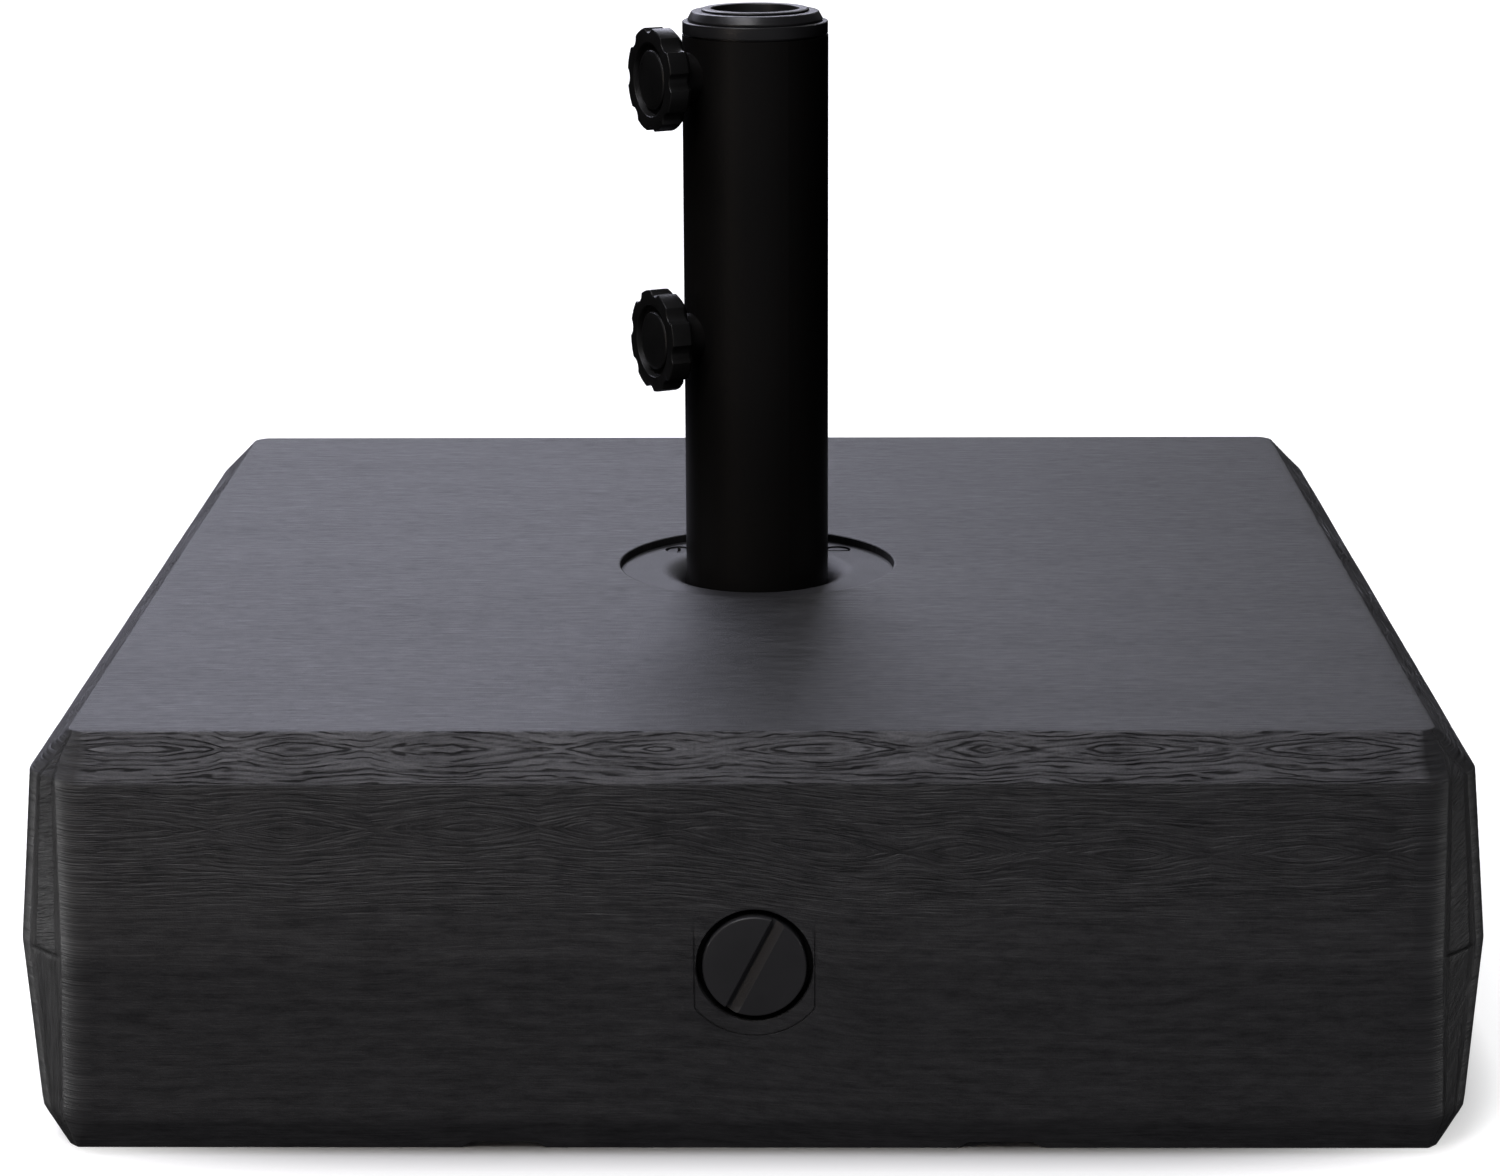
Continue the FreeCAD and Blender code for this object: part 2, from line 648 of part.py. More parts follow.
def make_tube_cap():
    body = new_body("tube_cap")
    band_foot = "dim.tube_top + 0.1"
    band_top = "dim.tube_top + dim.cap_band_height"
    turn(
        body,
        "form",
        [
            ("dim.cap_bore", "dim.skirt_foot"),
            ("dim.skirt_radius", "dim.skirt_foot"),
            ("dim.skirt_radius", band_foot),
            ("dim.cap_radius - dim.shadow_gap", band_foot),
            ("dim.cap_radius - dim.shadow_gap", f"{band_foot} + dim.shadow_gap"),
            ("dim.cap_radius", f"{band_foot} + dim.shadow_gap"),
            ("dim.cap_radius", f"{band_top} - dim.ring_lip / 2"),
            ("dim.cap_radius - dim.ring_lip / 2", band_top),
            ("dim.cap_bore", band_top),
        ],
    )
    return place(body)


def make_reducer_ring(name, bore, skirt, foot, flange, flange_top, top):
    """A loose ring: a skirt that drops into the ring outside it, and a flange that rests on top."""
    body = new_body(name)
    turn(
        body,
        "form",
        [
            (bore, "dim.skirt_foot"),
            (skirt, "dim.skirt_foot"),
            (skirt, foot),
            (flange, foot),
            (flange, f"{foot} + dim.ring_lip"),
            (flange_top, top),
            (f"{bore} + dim.ring_lip", top),
            (bore, f"{top} - dim.ring_lip"),
        ],
    )
    return place(body)


def knob_placement(thing, level, spin="0"):
    """Puts a piece on a knob's axis. Its own +Z is the way out, from the axis of the tube."""
    heading = rotation_about((0, 0, 1), -size("dim.knob_heading"))
    own_turn = rotation_about((0, 0, 1), size(spin))
    rotation = heading.multiply(FACING_OUT).multiply(own_turn)
    return place(thing, z=f"dim.{level}_knob_height", rotation=rotation)


def hexagon(sketch, flats):
    """A regular hexagon round the origin, by its size across flats."""
    corner = f"({flats}) / 2 / cos(30 * 1 deg)"
    turns = [f"{60 * k} * 1 deg" for k in range(6)]
    outline(sketch, [(f"{corner} * cos({angle})", f"{corner} * sin({angle})") for angle in turns])


def make_knob_head(level):
    body = new_body(f"knob_head_{level}")
    back = "dim.knob_face_reach - dim.knob_thickness"
    floor = "dim.knob_face_reach - dim.knob_recess_depth"
    pocket_floor = "dim.bolt_head_reach + dim.bolt_head_height + 0.1"
    bore = "dim.bolt_radius + 0.1"
    well = "dim.knob_cap_radius + 0.2"
    turn(
        body,
        "form",
        [
            (bore, "dim.knob_hub_reach"),
            ("dim.knob_hub_radius", "dim.knob_hub_reach"),
            ("dim.knob_hub_root", back),
            ("dim.knob_radius - dim.knob_back_chamfer", back),
            ("dim.knob_radius", f"{back} + dim.knob_back_chamfer"),
            ("dim.knob_radius", "dim.knob_face_reach - dim.knob_edge", "dim.knob_edge"),
            ("dim.knob_radius - dim.knob_edge", "dim.knob_face_reach"),
            ("dim.knob_recess_radius", "dim.knob_face_reach"),
            ("dim.knob_recess_radius - dim.ring_lip", floor),
            (well, floor),
            (well, pocket_floor),
            (bore, pocket_floor),
        ],
    )
    seat = new_sketch(body, "hexagon_seat", "XY_Plane", pocket_floor)
    hexagon(seat, "dim.bolt_head_flats + 0.1")
    pocket(body, "hexagon_seat_cut", seat, "dim.bolt_head_height + 0.1")
    scallop = new_sketch(body, "notch", "XY_Plane", "dim.knob_face_reach + 1")
    disc(scallop, "dim.notch_radius", "dim.knob_radius + dim.notch_radius - dim.notch_depth")
    notch = pocket(body, "notch_cut", scallop, "dim.knob_thickness + 2")
    polar(body, "notches", [notch], int(size("dim.lobe_count")))
    return knob_placement(body, level, f"dim.{level}_knob_spin")


def make_knob_cap(level):
    body = new_body(f"knob_cap_{level}")
    floor = "dim.bolt_head_reach + dim.bolt_head_height + 0.2"
    edge = f"{floor} + dim.knob_cap_height"
    rise = "(dim.knob_cap_dome - sqrt(dim.knob_cap_dome ^ 2 - dim.knob_cap_radius ^ 2))"
    turn(
        body,
        "form",
        [
            ("0", floor),
            ("dim.knob_cap_radius", floor),
            ("dim.knob_cap_radius", edge, "dim.knob_cap_dome"),
            ("0", f"{edge} + {rise}"),
        ],
    )
    return knob_placement(body, level)


def make_knob_bolt(level):
    body = new_body(f"knob_bolt_{level}")
    turn(
        body,
        "shank",
        [
            ("0", "dim.spigot_reach"),
            ("dim.spigot_radius", "dim.spigot_reach"),
            ("dim.spigot_radius", "dim.bolt_shoulder_reach"),
            ("dim.bolt_radius", "dim.bolt_shoulder_reach"),
            ("dim.bolt_radius", "dim.bolt_head_reach + 1"),
            ("0", "dim.bolt_head_reach + 1"),
        ],
    )
    head = new_sketch(body, "head", "XY_Plane", "dim.bolt_head_reach")
    hexagon(head, "dim.bolt_head_flats")
    pad(body, "head_pad", head, "dim.bolt_head_height")
    return knob_placement(body, level, f"dim.{level}_knob_spin")


def make_press_pad(level):
    body = new_body(f"press_pad_{level}")
    back = "dim.press_pad_reach + dim.press_pad_length"
    socket = "dim.spigot_radius + dim.running_gap"
    floor = f"{back} - dim.press_pad_socket"
    turn(
        body,
        "form",
        [
            ("0", "dim.press_pad_reach"),
            ("dim.press_pad_radius - dim.ring_lip", "dim.press_pad_reach"),
            ("dim.press_pad_radius", "dim.press_pad_reach + dim.ring_lip"),
            ("dim.press_pad_radius", back),
            (socket, back),
            (socket, floor),
            ("0", floor),
        ],
    )
    return knob_placement(body, level)


def make_weld_nut(level):
    """A round nut whose foot follows the tube, made from primitives in the knob's own frame."""
    sizes = {
        "blank": ("dim.nut_radius", "dim.nut_reach"),
        "bore": ("dim.bolt_radius + dim.running_gap", "dim.nut_reach + 1"),
        "tube": ("dim.tube_radius", "4 * dim.nut_radius"),
    }
    made = {}
    for name, (radius, height) in sizes.items():
        cylinder = doc.addObject("Part::Cylinder", f"weld_nut_{level}_{name}")
        cylinder.setExpression("Radius", radius)
        cylinder.setExpression("Height", height)
        made[name] = cylinder
    place(made["tube"], y="2 * dim.nut_radius", rotation=FACING_OUT)
    tools = doc.addObject("Part::Fuse", f"weld_nut_{level}_tools")
    tools.Base, tools.Tool = made["tube"], made["bore"]
    nut = doc.addObject("Part::Cut", f"weld_nut_{level}")
    nut.Base, nut.Tool = made["blank"], tools
    nut.Label = nut.Name
    return knob_placement(nut, level)


def make_all():
    seat = "dim.tank_height - dim.collar_seat_depth"
    collar_face = "dim.tank_height - dim.collar_drop - dim.screw_pocket_depth"
    foot = "dim.foot_seat_depth"
    band_top = "dim.tube_top + dim.cap_band_height"
    middle_foot = f"{band_top} + 0.1"
    middle_top = f"{middle_foot} + dim.middle_flange_height"
    inner_foot = f"{middle_top} + 0.1"
    nodes = [
        make_tank_shell(),
        make_fill_plug(),
        make_plug_seal(),
        make_post_tube(),
        make_foot_flange(),
        make_screws("flange_screws", f"{foot} - dim.flange_thickness", True, 4, 360),
        make_inserts("foot_inserts", foot, False, 4, 360),
        make_socket_collar(),
        make_screws("collar_screws", collar_face, False, 2, 90),
        make_inserts("collar_inserts", seat, True, 2, 90),
        make_tube_cap(),
        make_reducer_ring(
            "reducer_ring_middle",
            "dim.middle_bore",
            "dim.middle_skirt_radius",
            middle_foot,
            "dim.middle_radius",
            "dim.middle_top_radius",
            middle_top,
        ),
        make_reducer_ring(
            "reducer_ring_inner",
            "dim.pole_bore",
            "dim.inner_skirt_radius",
            inner_foot,
            "dim.inner_radius",
            "dim.inner_radius - dim.ring_lip",
            f"{inner_foot} + dim.inner_flange_height",
        ),
    ]
    for level in ("upper", "lower"):
        for make in (make_weld_nut, make_press_pad, make_knob_bolt, make_knob_head, make_knob_cap):
            nodes.append(make(level))
    return nodes


def write_parts(nodes):
    """Checks every object and every sub-part, then writes one STEP file for each sub-part."""
    doc.recompute()
    broken = [o.Name for o in doc.Objects if "Invalid" in o.State or "Error" in o.State]
    broken += [n.Label for n in nodes if n.Shape.isNull() or not n.Shape.isValid()]
    if broken:
        raise RuntimeError(f"not built: {broken}")
    os.makedirs("parts", exist_ok=True)
    for node in nodes:
        node.Shape.exportStep(os.path.join("parts", f"{node.Label}.step"))
        box = node.Shape.BoundBox
        print(
            f"{node.Label}: {len(node.Shape.Solids)} solids, {node.Shape.Volume / 1000:.2f} cm3, "
            f"z {box.ZMin:.1f} to {box.ZMax:.1f}"
        )


write_parts(make_all())
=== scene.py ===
import json
import math

import bmesh
import bpy
from mathutils import Matrix, Vector, noise


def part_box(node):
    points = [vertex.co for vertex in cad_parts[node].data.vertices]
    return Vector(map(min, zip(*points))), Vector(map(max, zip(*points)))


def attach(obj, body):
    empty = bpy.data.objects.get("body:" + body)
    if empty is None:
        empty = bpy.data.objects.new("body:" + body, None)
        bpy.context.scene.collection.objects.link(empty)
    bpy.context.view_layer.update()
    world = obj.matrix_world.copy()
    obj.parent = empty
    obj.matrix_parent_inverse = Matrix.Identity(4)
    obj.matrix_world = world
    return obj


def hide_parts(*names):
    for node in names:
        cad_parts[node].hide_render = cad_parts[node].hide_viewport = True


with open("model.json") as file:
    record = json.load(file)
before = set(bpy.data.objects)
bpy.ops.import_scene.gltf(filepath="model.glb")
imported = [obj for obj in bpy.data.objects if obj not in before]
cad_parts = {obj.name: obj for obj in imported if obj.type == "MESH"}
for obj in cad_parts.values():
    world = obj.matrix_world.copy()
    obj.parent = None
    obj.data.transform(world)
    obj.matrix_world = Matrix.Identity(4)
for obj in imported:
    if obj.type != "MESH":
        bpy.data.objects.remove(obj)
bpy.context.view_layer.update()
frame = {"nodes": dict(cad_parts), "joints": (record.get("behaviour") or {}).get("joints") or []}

# Square fillable parasol base in charcoal plastic. Metres, +Z up, the fill plug faces -Y.
# Sizes below are in millimetres and are scaled by MM where a mesh is written.
MM = 0.001
TINY = 1e-6
TAU = 2 * math.pi


# ---------------------------------------------------------------- small helpers

def smooth(value, low, high):
    t = min(1.0, max(0.0, (value - low) / (high - low)))
    return t * t * (3 - 2 * t)


def spaced(stops):
    """Positions through (stop, steps to reach it) pairs; the first pair gives the start."""
    out = [stops[0][0]]
    for stop, steps in stops[1:]:
        start = out[-1]
        out += [start + (stop - start) * (k + 1) / steps for k in range(steps)]
    return out


def to_object(name, bm, material, body, node_names=(), normals=True):
    """Writes a bmesh in millimetres out as a smooth-shaded piece that rides on a body."""
    bmesh.ops.scale(bm, vec=(MM, MM, MM), verts=bm.verts)
    if normals:
        bmesh.ops.recalc_face_normals(bm, faces=bm.faces)
    mesh = bpy.data.meshes.new(name)
    bm.to_mesh(mesh)
    bm.free()
    for polygon in mesh.polygons:
        polygon.use_smooth = True
    mesh.materials.append(material)
    piece = bpy.data.objects.new(name, mesh)
    bpy.context.scene.collection.objects.link(piece)
    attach(piece, body)
    if node_names:
        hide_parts(*node_names)
    return piece


def sharpen(piece, degrees=35):
    """Marks the edges that stay crisp in shading."""
    mesh = piece.data
    bm = bmesh.new()
    bm.from_mesh(mesh)
    limit = math.radians(degrees)
    for edge in bm.edges:
        if len(edge.link_faces) == 2 and edge.calc_face_angle(0.0) > limit:
            edge.smooth = False
    bm.to_mesh(mesh)
    bm.free()


def bend(start, corner, end, part):
    """A point of the smooth curve from start to end that leans on the corner."""
    return start.lerp(corner, part).lerp(corner.lerp(end, part), part)


def rounded(corners, steps=4):
    """A closed outline of (a, b, radius) corners with each corner rounded by an arc."""
    points = []
    count = len(corners)
    for index, (a, b, radius) in enumerate(corners):
        here = Vector((a, b))
        if radius <= 0:
            points.append((a, b))
            continue
        before = Vector(corners[index - 1][:2]) - here
        after = Vector(corners[(index + 1) % count][:2]) - here
        before.normalize()
        after.normalize()
        half = before.angle(after) / 2
        setback = radius / math.tan(half)
        start, end = here + before * setback, here + after * setback
        centre = here + (before + after).normalized() * (radius / math.sin(half))
        first = math.atan2(*(start - centre).yx)
        sweep = math.atan2(*(end - centre).yx) - first
        sweep = (sweep + math.pi) % (2 * math.pi) - math.pi
        for k in range(steps + 1):
            turn = first + sweep * k / steps
            points.append((centre.x + radius * math.cos(turn), centre.y + radius * math.sin(turn)))
    return points


def spin(profile, segments, outline=None):
    """A closed (r, z) profile turned about Z. outline(r, z, angle) may change the radius on the way."""
    bm = bmesh.new()
    rings = []
    for r, z in profile:
        if r < TINY:
            rings.append([bm.verts.new((0, 0, z))])
            continue
        ring = []
        for k in range(segments):
            angle = TAU * k / segments
            reach = outline(r, z, angle) if outline else r
            ring.append(bm.verts.new((reach * math.cos(angle), reach * math.sin(angle), z)))
        rings.append(ring)
    for index, low in enumerate(rings):
        high = rings[(index + 1) % len(rings)]
        if len(low) == 1 and len(high) == 1:
            continue
        for k in range(segments):
            following = (k + 1) % segments
            corners = ((low, k), (low, following), (high, following), (high, k))
            bm.faces.new(list(dict.fromkeys(ring[i % len(ring)] for ring, i in corners)))
    return bm


def facing(axis, origin, spun=0.0):
    """A matrix, in millimetres, that turns own +Z to the axis and own +Y as near to up as it goes."""
    z = Vector(axis).normalized()
    x = Vector((0, 0, 1)).cross(z).normalized()
    y = z.cross(x)
    turn = Matrix((x, y, z)).transposed().to_4x4()
    return Matrix.Translation(Vector(origin)) @ turn @ Matrix.Rotation(math.radians(spun), 4, "Z")


# ---------------------------------------------------------------- materials

class Shader:
    """A node material, written as short calls."""

    def __init__(self, name):
        self.material = bpy.data.materials.new(name)
        self.material.use_nodes = True
        self.tree = self.material.node_tree
        self.principled = next(n for n in self.tree.nodes if n.type == "BSDF_PRINCIPLED")

    def put(self, socket, value):
        """Links another node's output to a socket, or sets the socket to a plain value."""
        if isinstance(value, bpy.types.NodeSocket):
            self.tree.links.new(value, socket)
        else:
            socket.default_value = value

    def node(self, kind, inputs=None, **settings):
        made = self.tree.nodes.new(f"ShaderNode{kind}")
        for key, value in settings.items():
            setattr(made, key, value)
        for key, value in (inputs or {}).items():
            self.put(made.inputs[key], value)
        return made

    def math(self, operation, a, b=0.0, clamp=False):
        return self.node("Math", {0: a, 1: b}, operation=operation, use_clamp=clamp).outputs[0]

    def mapped(self, value, low, high, to_low, to_high):
        inputs = {"Value": value, "From Min": low, "From Max": high, "To Min": to_low, "To Max": to_high}
        return self.node("MapRange", inputs, clamp=True).outputs[0]

    def noise(self, vector, scale, detail=2.0, roughness=0.5, distortion=0.0):
        inputs = {"Vector": vector, "Scale": scale, "Detail": detail, "Roughness": roughness,
                  "Distortion": distortion}
        return self.node("TexNoise", inputs).outputs["Fac"]

    def stretched(self, vector, scale):
        return self.node("Mapping", {"Vector": vector, "Scale": scale}).outputs[0]

    def mixed(self, factor, first, second):
        made = self.node("Mix", data_type="RGBA")
        for index, value in ((0, factor), (6, first), (7, second)):
            self.put(made.inputs[index], value)
        return made.outputs[2]

    def bumped(self, height, distance, strength=1.0, normal=None):
        inputs = {"Height": height, "Distance": distance, "Strength": strength}
        if normal is not None:
            inputs["Normal"] = normal
        return self.node("Bump", inputs).outputs[0]

    def surface(self, **sockets):
        for key, value in sockets.items():
            self.put(self.principled.inputs[key.replace("_", " ")], value)
        return self.material


COOL = (0.98, 0.98, 1.06)
WARM = (1.08, 1.0, 0.94)
NEUTRAL = (1.0, 1.0, 1.0)


def shade(level, tint=NEUTRAL):
    return (level * tint[0], level * tint[1], level * tint[2], 1.0)



# How strong the grain is on each part of the tank, as its mesh carries it. The same number sets how much
# painted light makes the chamfers paler, so the side chamfers, at a lower number, stay darker as painted
# shade
PLAIN, WALL, SIDE_CHAMFER, CHAMFER = 0.0, 1.0, 1.1, 1.5
LINES = 600.0        # fine grain lines in a metre across the grain
ONE_TURN = 6.2832


def grained_plastic():
    """Moulded wood-look plastic. The mesh carries, as "grain", the metres along and across the grain
    and its strength, and as "groove" how far into a moulded groove a point lies, from 0 to 1, which
    paints shade into the grooves, and into the recesses and the hollow."""
    s = Shader("tank_plastic")
    grain = s.node("Attribute", attribute_name="grain")
    along, across, strength = s.node("SeparateXYZ", {0: grain.outputs["Vector"]}).outputs
    flat = s.node("CombineXYZ", {0: along, 1: across}).outputs[0]
    # streaks that wander a little off the straight
    wander = s.noise(s.stretched(flat, (9.0, 30.0, 1.0)), 1.0, 2.0)
    bent = s.math("ADD", across, s.math("MULTIPLY", s.math("SUBTRACT", wander, 0.5), 0.007))
    lined = s.node("CombineXYZ", {0: along, 1: bent}).outputs[0]
    streaks = s.noise(s.stretched(lined, (48.0, 950.0, 1.0)), 1.0, 4.0, 0.66)
    broad = s.noise(s.stretched(lined, (36.0, 260.0, 1.0)), 1.0, 3.0, 0.6)
    # fine broken lines, deeper on the chamfers than on the walls, join the moulded grooves, as bumps and
    # as painted shade
    groove = s.node("Attribute", attribute_name="groove").outputs["Fac"]
    sway = s.noise(s.stretched(flat, (24.0, 110.0, 1.0)), 1.0, 3.0, 0.6)
    phase = s.math("ADD", s.math("MULTIPLY", across, LINES), s.math("MULTIPLY", sway, 5.0))
    wave = s.math("COSINE", s.math("MULTIPLY", phase, ONE_TURN))
    line = s.math("MULTIPLY", s.math("SUBTRACT", 1.0, wave), 0.5)
    gaps = s.noise(s.stretched(flat, (45.0, 420.0, 1.0)), 1.0, 2.0, 0.5)
    cut = s.math("MULTIPLY", s.math("POWER", line, 3.0), s.mapped(gaps, 0.38, 0.54, 0.0, 1.0))
    cut = s.math("MULTIPLY", cut, strength)
    line_depth_and_shade = s.math("MULTIPLY", cut, s.mapped(strength, WALL, CHAMFER, 0.35, 0.8))
    groove = s.math("MAXIMUM", groove, line_depth_and_shade, True)
    # charcoal colour; paler on the chamfers as painted light, less on the side chamfers, which stay
    # darker as painted shade; near black as painted shade in a groove and in the recesses and hollow
    speckle = s.noise(flat, 1300.0, 3.0, 0.7)
    patches = s.noise(flat, 9.0, 3.0, 0.6)
    tone = s.mapped(streaks, 0.3, 0.7, 0.0, 0.45)
    tone = s.math("ADD", tone, s.mapped(broad, 0.32, 0.68, -0.15, 0.25))
    tone = s.math("ADD", tone, s.mapped(patches, 0.3, 0.7, 0.0, 0.1))
    tone = s.math("ADD", tone, s.mapped(speckle, 0.35, 0.65, 0.0, 0.4))
    colour = s.mixed(tone, shade(0.0075, COOL), shade(0.0205, COOL))
    painted_chamfer_light = s.mixed(tone, shade(0.034, COOL), shade(0.086, COOL))
    # painted light: the chamfers are mixed towards a much paler colour, the side chamfers only a fifth
    # of the way
    colour = s.mixed(s.mapped(strength, WALL, CHAMFER, 0.0, 1.0), colour, painted_chamfer_light)
    # painted shade: the groove mask, fine lines included, darkens the colour to near black
    colour = s.mixed(s.math("MULTIPLY", groove, 0.85), colour, shade(0.003))
    rough = s.mapped(streaks, 0.3, 0.7, 0.44, 0.56)
    rough = s.math("ADD", rough, s.mapped(broad, 0.3, 0.7, -0.05, 0.05))
    rough = s.math("ADD", rough, s.mapped(strength, PLAIN, WALL, 0.04, 0.0))
    # bumps from coarse to fine
    lines = s.math("MULTIPLY", s.mapped(streaks, 0.25, 0.75, 0.0, 1.0), s.math("ADD", strength, 0.6))
    normal = s.bumped(lines, 0.0003, 0.8)
    normal = s.bumped(s.math("SUBTRACT", 1.0, line_depth_and_shade), 0.00025, 1.0, normal)
    normal = s.bumped(speckle, 0.00014, 0.9, normal)
    # gloss in short dashes and wide bands, low in a groove
    bands = s.noise(s.stretched(flat, (5.0, 26.0, 1.0)), 1.0, 3.0, 0.6)
    dash = s.noise(s.stretched(lined, (120.0, 330.0, 1.0)), 1.0, 3.0, 0.75)
    sheen = s.mapped(dash, 0.33, 0.67, 0.65, 1.25)
    sheen = s.math("ADD", sheen, s.mapped(broad, 0.34, 0.66, -0.15, 0.25))
    sheen = s.math("ADD", sheen, s.mapped(bands, 0.3, 0.7, -0.1, 0.16))
    gloss = s.math("MULTIPLY", s.mapped(groove, 0.0, 1.0, 0.38, 0.1), sheen)
    return s.surface(Base_Color=colour, Roughness=rough, Normal=normal, Specular_IOR_Level=gloss)


def satin_plastic(name, level, tint, rough, fine, depth, rings=0.0, gloss=0.3):
    """Moulded black plastic: a fine spark-eroded grain, faint flow marks, and turned marks if asked."""
    s = Shader(name)
    place = s.node("TexCoord").outputs["Object"]
    fine_noise = s.noise(place, fine, 3.0, 0.6)
    flow = s.noise(place, 45.0, 3.0, 0.55, 0.6)
    low, high = shade(level * 0.82, tint), shade(level * 1.2, tint)
    colour = s.mixed(s.mapped(flow, 0.3, 0.7, 0.0, 1.0), low, high)
    spread = s.mapped(fine_noise, 0.3, 0.7, rough - 0.05, rough + 0.06)
    roughness = s.math("ADD", spread, s.mapped(flow, 0.3, 0.7, -0.03, 0.03))
    normal = s.bumped(fine_noise, depth, 0.7)
    if rings:
        x, y, _ = s.node("SeparateXYZ", {0: place}).outputs
        radius = s.math("SQRT", s.math("ADD", s.math("MULTIPLY", x, x), s.math("MULTIPLY", y, y)))
        turned = s.noise(s.node("CombineXYZ", {0: radius}).outputs[0], rings, 2.0, 0.6)
        normal = s.bumped(turned, 0.00005, 0.5, normal)
    return s.surface(Base_Color=colour, Roughness=roughness, Normal=normal, Specular_IOR_Level=gloss)


def powder_coat(name, level):
    """Satin black powder coat: orange peel and a fine grit over steel."""
    s = Shader(name)
    place = s.node("TexCoord").outputs["Object"]
    peel = s.noise(place, 900.0, 2.0, 0.5)
    grit = s.noise(place, 3200.0, 2.0, 0.6)
    drift = s.noise(place, 14.0, 2.0, 0.5)
    low, high = shade(level * 0.85, WARM), shade(level * 1.15, WARM)
    colour = s.mixed(s.mapped(drift, 0.3, 0.7, 0.0, 1.0), low, high)
    spread = s.mapped(grit, 0.3, 0.7, 0.36, 0.46)
    roughness = s.math("ADD", spread, s.mapped(drift, 0.3, 0.7, -0.02, 0.03))
    normal = s.bumped(peel, 0.00006, 0.6)
    normal = s.bumped(grit, 0.00002, 0.5, normal)
    return s.surface(Base_Color=colour, Roughness=roughness, Normal=normal, Specular_IOR_Level=0.1)


def bare_metal(name, colour_low, colour_high, rough):
    """Plated metal with a brushed, slightly cloudy finish."""
    s = Shader(name)
    place = s.node("TexCoord").outputs["Object"]
    cloud = s.noise(place, 180.0, 3.0, 0.6)
    scratch = s.noise(s.stretched(place, (300.0, 300.0, 4000.0)), 1.0, 3.0, 0.6)
    colour = s.mixed(s.mapped(cloud, 0.3, 0.7, 0.0, 1.0), colour_low, colour_high)
    spread = s.mapped(scratch, 0.3, 0.7, rough - 0.08, rough + 0.1)
    roughness = s.math("ADD", spread, s.mapped(cloud, 0.3, 0.7, -0.04, 0.04))
    normal = s.bumped(scratch, 0.00002, 0.5)
    return s.surface(Base_Color=colour, Roughness=roughness, Normal=normal, Metallic=1.0)


TANK = grained_plastic()
COLLAR = satin_plastic("collar_plastic", 0.016, COOL, 0.52, 1500.0, 0.00006, gloss=0.26)
PLUG = satin_plastic("plug_plastic", 0.014, COOL, 0.42, 1300.0, 0.00006)
RING = satin_plastic("ring_plastic", 0.010, COOL, 0.36, 1800.0, 0.00004, rings=2600.0)
KNOB = satin_plastic("knob_plastic", 0.006, NEUTRAL, 0.33, 1500.0, 0.00005, gloss=0.2)
RUBBER = satin_plastic("seal_rubber", 0.010, WARM, 0.72, 900.0, 0.00008)
COAT = powder_coat("black_coat", 0.0035)
ZINC = bare_metal("zinc_steel", (0.42, 0.43, 0.46, 1), (0.60, 0.61, 0.63, 1), 0.36)
BRASS = bare_metal("insert_brass", (0.52, 0.36, 0.13, 1), (0.68, 0.50, 0.20, 1), 0.34)

FINISHES = {
    "socket_collar": COLLAR,
    "post_tube": COAT,
    "foot_flange": COAT,
    "weld_nut_upper": COAT,
    "weld_nut_lower": COAT,
    "collar_screws": COAT,
    "flange_screws": ZINC,
    "knob_bolt_upper": ZINC,
    "knob_bolt_lower": ZINC,
    "foot_inserts": BRASS,
    "collar_inserts": BRASS,
    "plug_seal": RUBBER,
    "press_pad_upper": KNOB,
    "press_pad_lower": KNOB,
}
for node_name, finish in FINISHES.items():
    for material_slot in frame["nodes"][node_name].material_slots:
        material_slot.material = finish


# ---------------------------------------------------------------- the tank

SEAM = 74.5          # height of the widest level, where the mould parts
TOP = 151.0
# (height, half width, corner cut): floor, foot, seam, shoulder, top edge, and a line inside that edge
LEVELS = [
    (0, 240.5, 3.5), (14, 250.2, 14), (SEAM, 255, 22), (136.6, 249.2, 16), (TOP, 234.8, 4),
    (TOP, 230.4, 1.42),
]
FOOT, SEAM_LEVEL, SHOULDER, TOP_EDGE = 1, 2, 3, 4  # numbers of the levels that have an edge
EDGES = {FOOT: 1.4, SEAM_LEVEL: 1.0, SHOULDER: 0.9, TOP_EDGE: 0.8}  # softness of the edge at each
# rows of mesh on the way up, in levels: closer where the grain is deep
ROWS = spaced([
    (0, 0), (FOOT, 7), (1.62, 12), (1.988, 9), (SEAM_LEVEL, 1), (2.012, 1), (2.32, 13), (SHOULDER, 53),
    (TOP_EDGE, 45), (4.02, 1), (4.2, 1), (5, 1),
])
CORNER = 14.0        # softness of the upright edges
CORNER_SETBACK = 0.414  # tangent of half the turn at an upright edge
CORNER_STEPS = 5     # columns round half of an upright edge
FACET_STEPS = 14     # columns across a corner facet
FACET_FADE = 3       # steps in which the facets' own grain comes in from each side
TURN_LENGTH = 496.0  # one side and one corner facet, along the grain
PATCH_STEPS = 13     # columns from the middle to the side of the square round a tube recess
PLUG_STEPS = 6       # columns from the middle to the side of the square round the plug
PLUG_X, PLUG_Z = 1.4, 72.5
PAD_FACE = -253.6
PAD_SIDE, PAD_TOP, PAD_ARC = 20.5, 21.2, 25.5  # from the plug's axis to the edges of the pad
MOUTH, TOP_HOLE, FLOOR_HOLE = 20.0, 55.0, 56.0  # radii of the plug's mouth and the tube's recesses
SLACK = 0.02         # allowed when a vertex is told by its place
# columns of mesh across a side, with lines on the edges of the channels
HALF_COLUMNS = spaced([(0, 0), (60, PATCH_STEPS), (72, 3), (76, 1), (98, 5), (102, 1), (226, 27)])
COLUMNS = [-x for x in HALF_COLUMNS[:0:-1]] + HALF_COLUMNS
CHANNEL_ROOF = 3.0   # depth of the two channels under the floor
CHANNEL_MIDDLE, CHANNEL_HALF, CHANNEL_SLOPE = 87.0, 15.0, 4.0  # across: place, half width, one side
FOOT_RUN, FOOT_RISE = 8.5, 14  # how the wall leans out from a channel's mouth

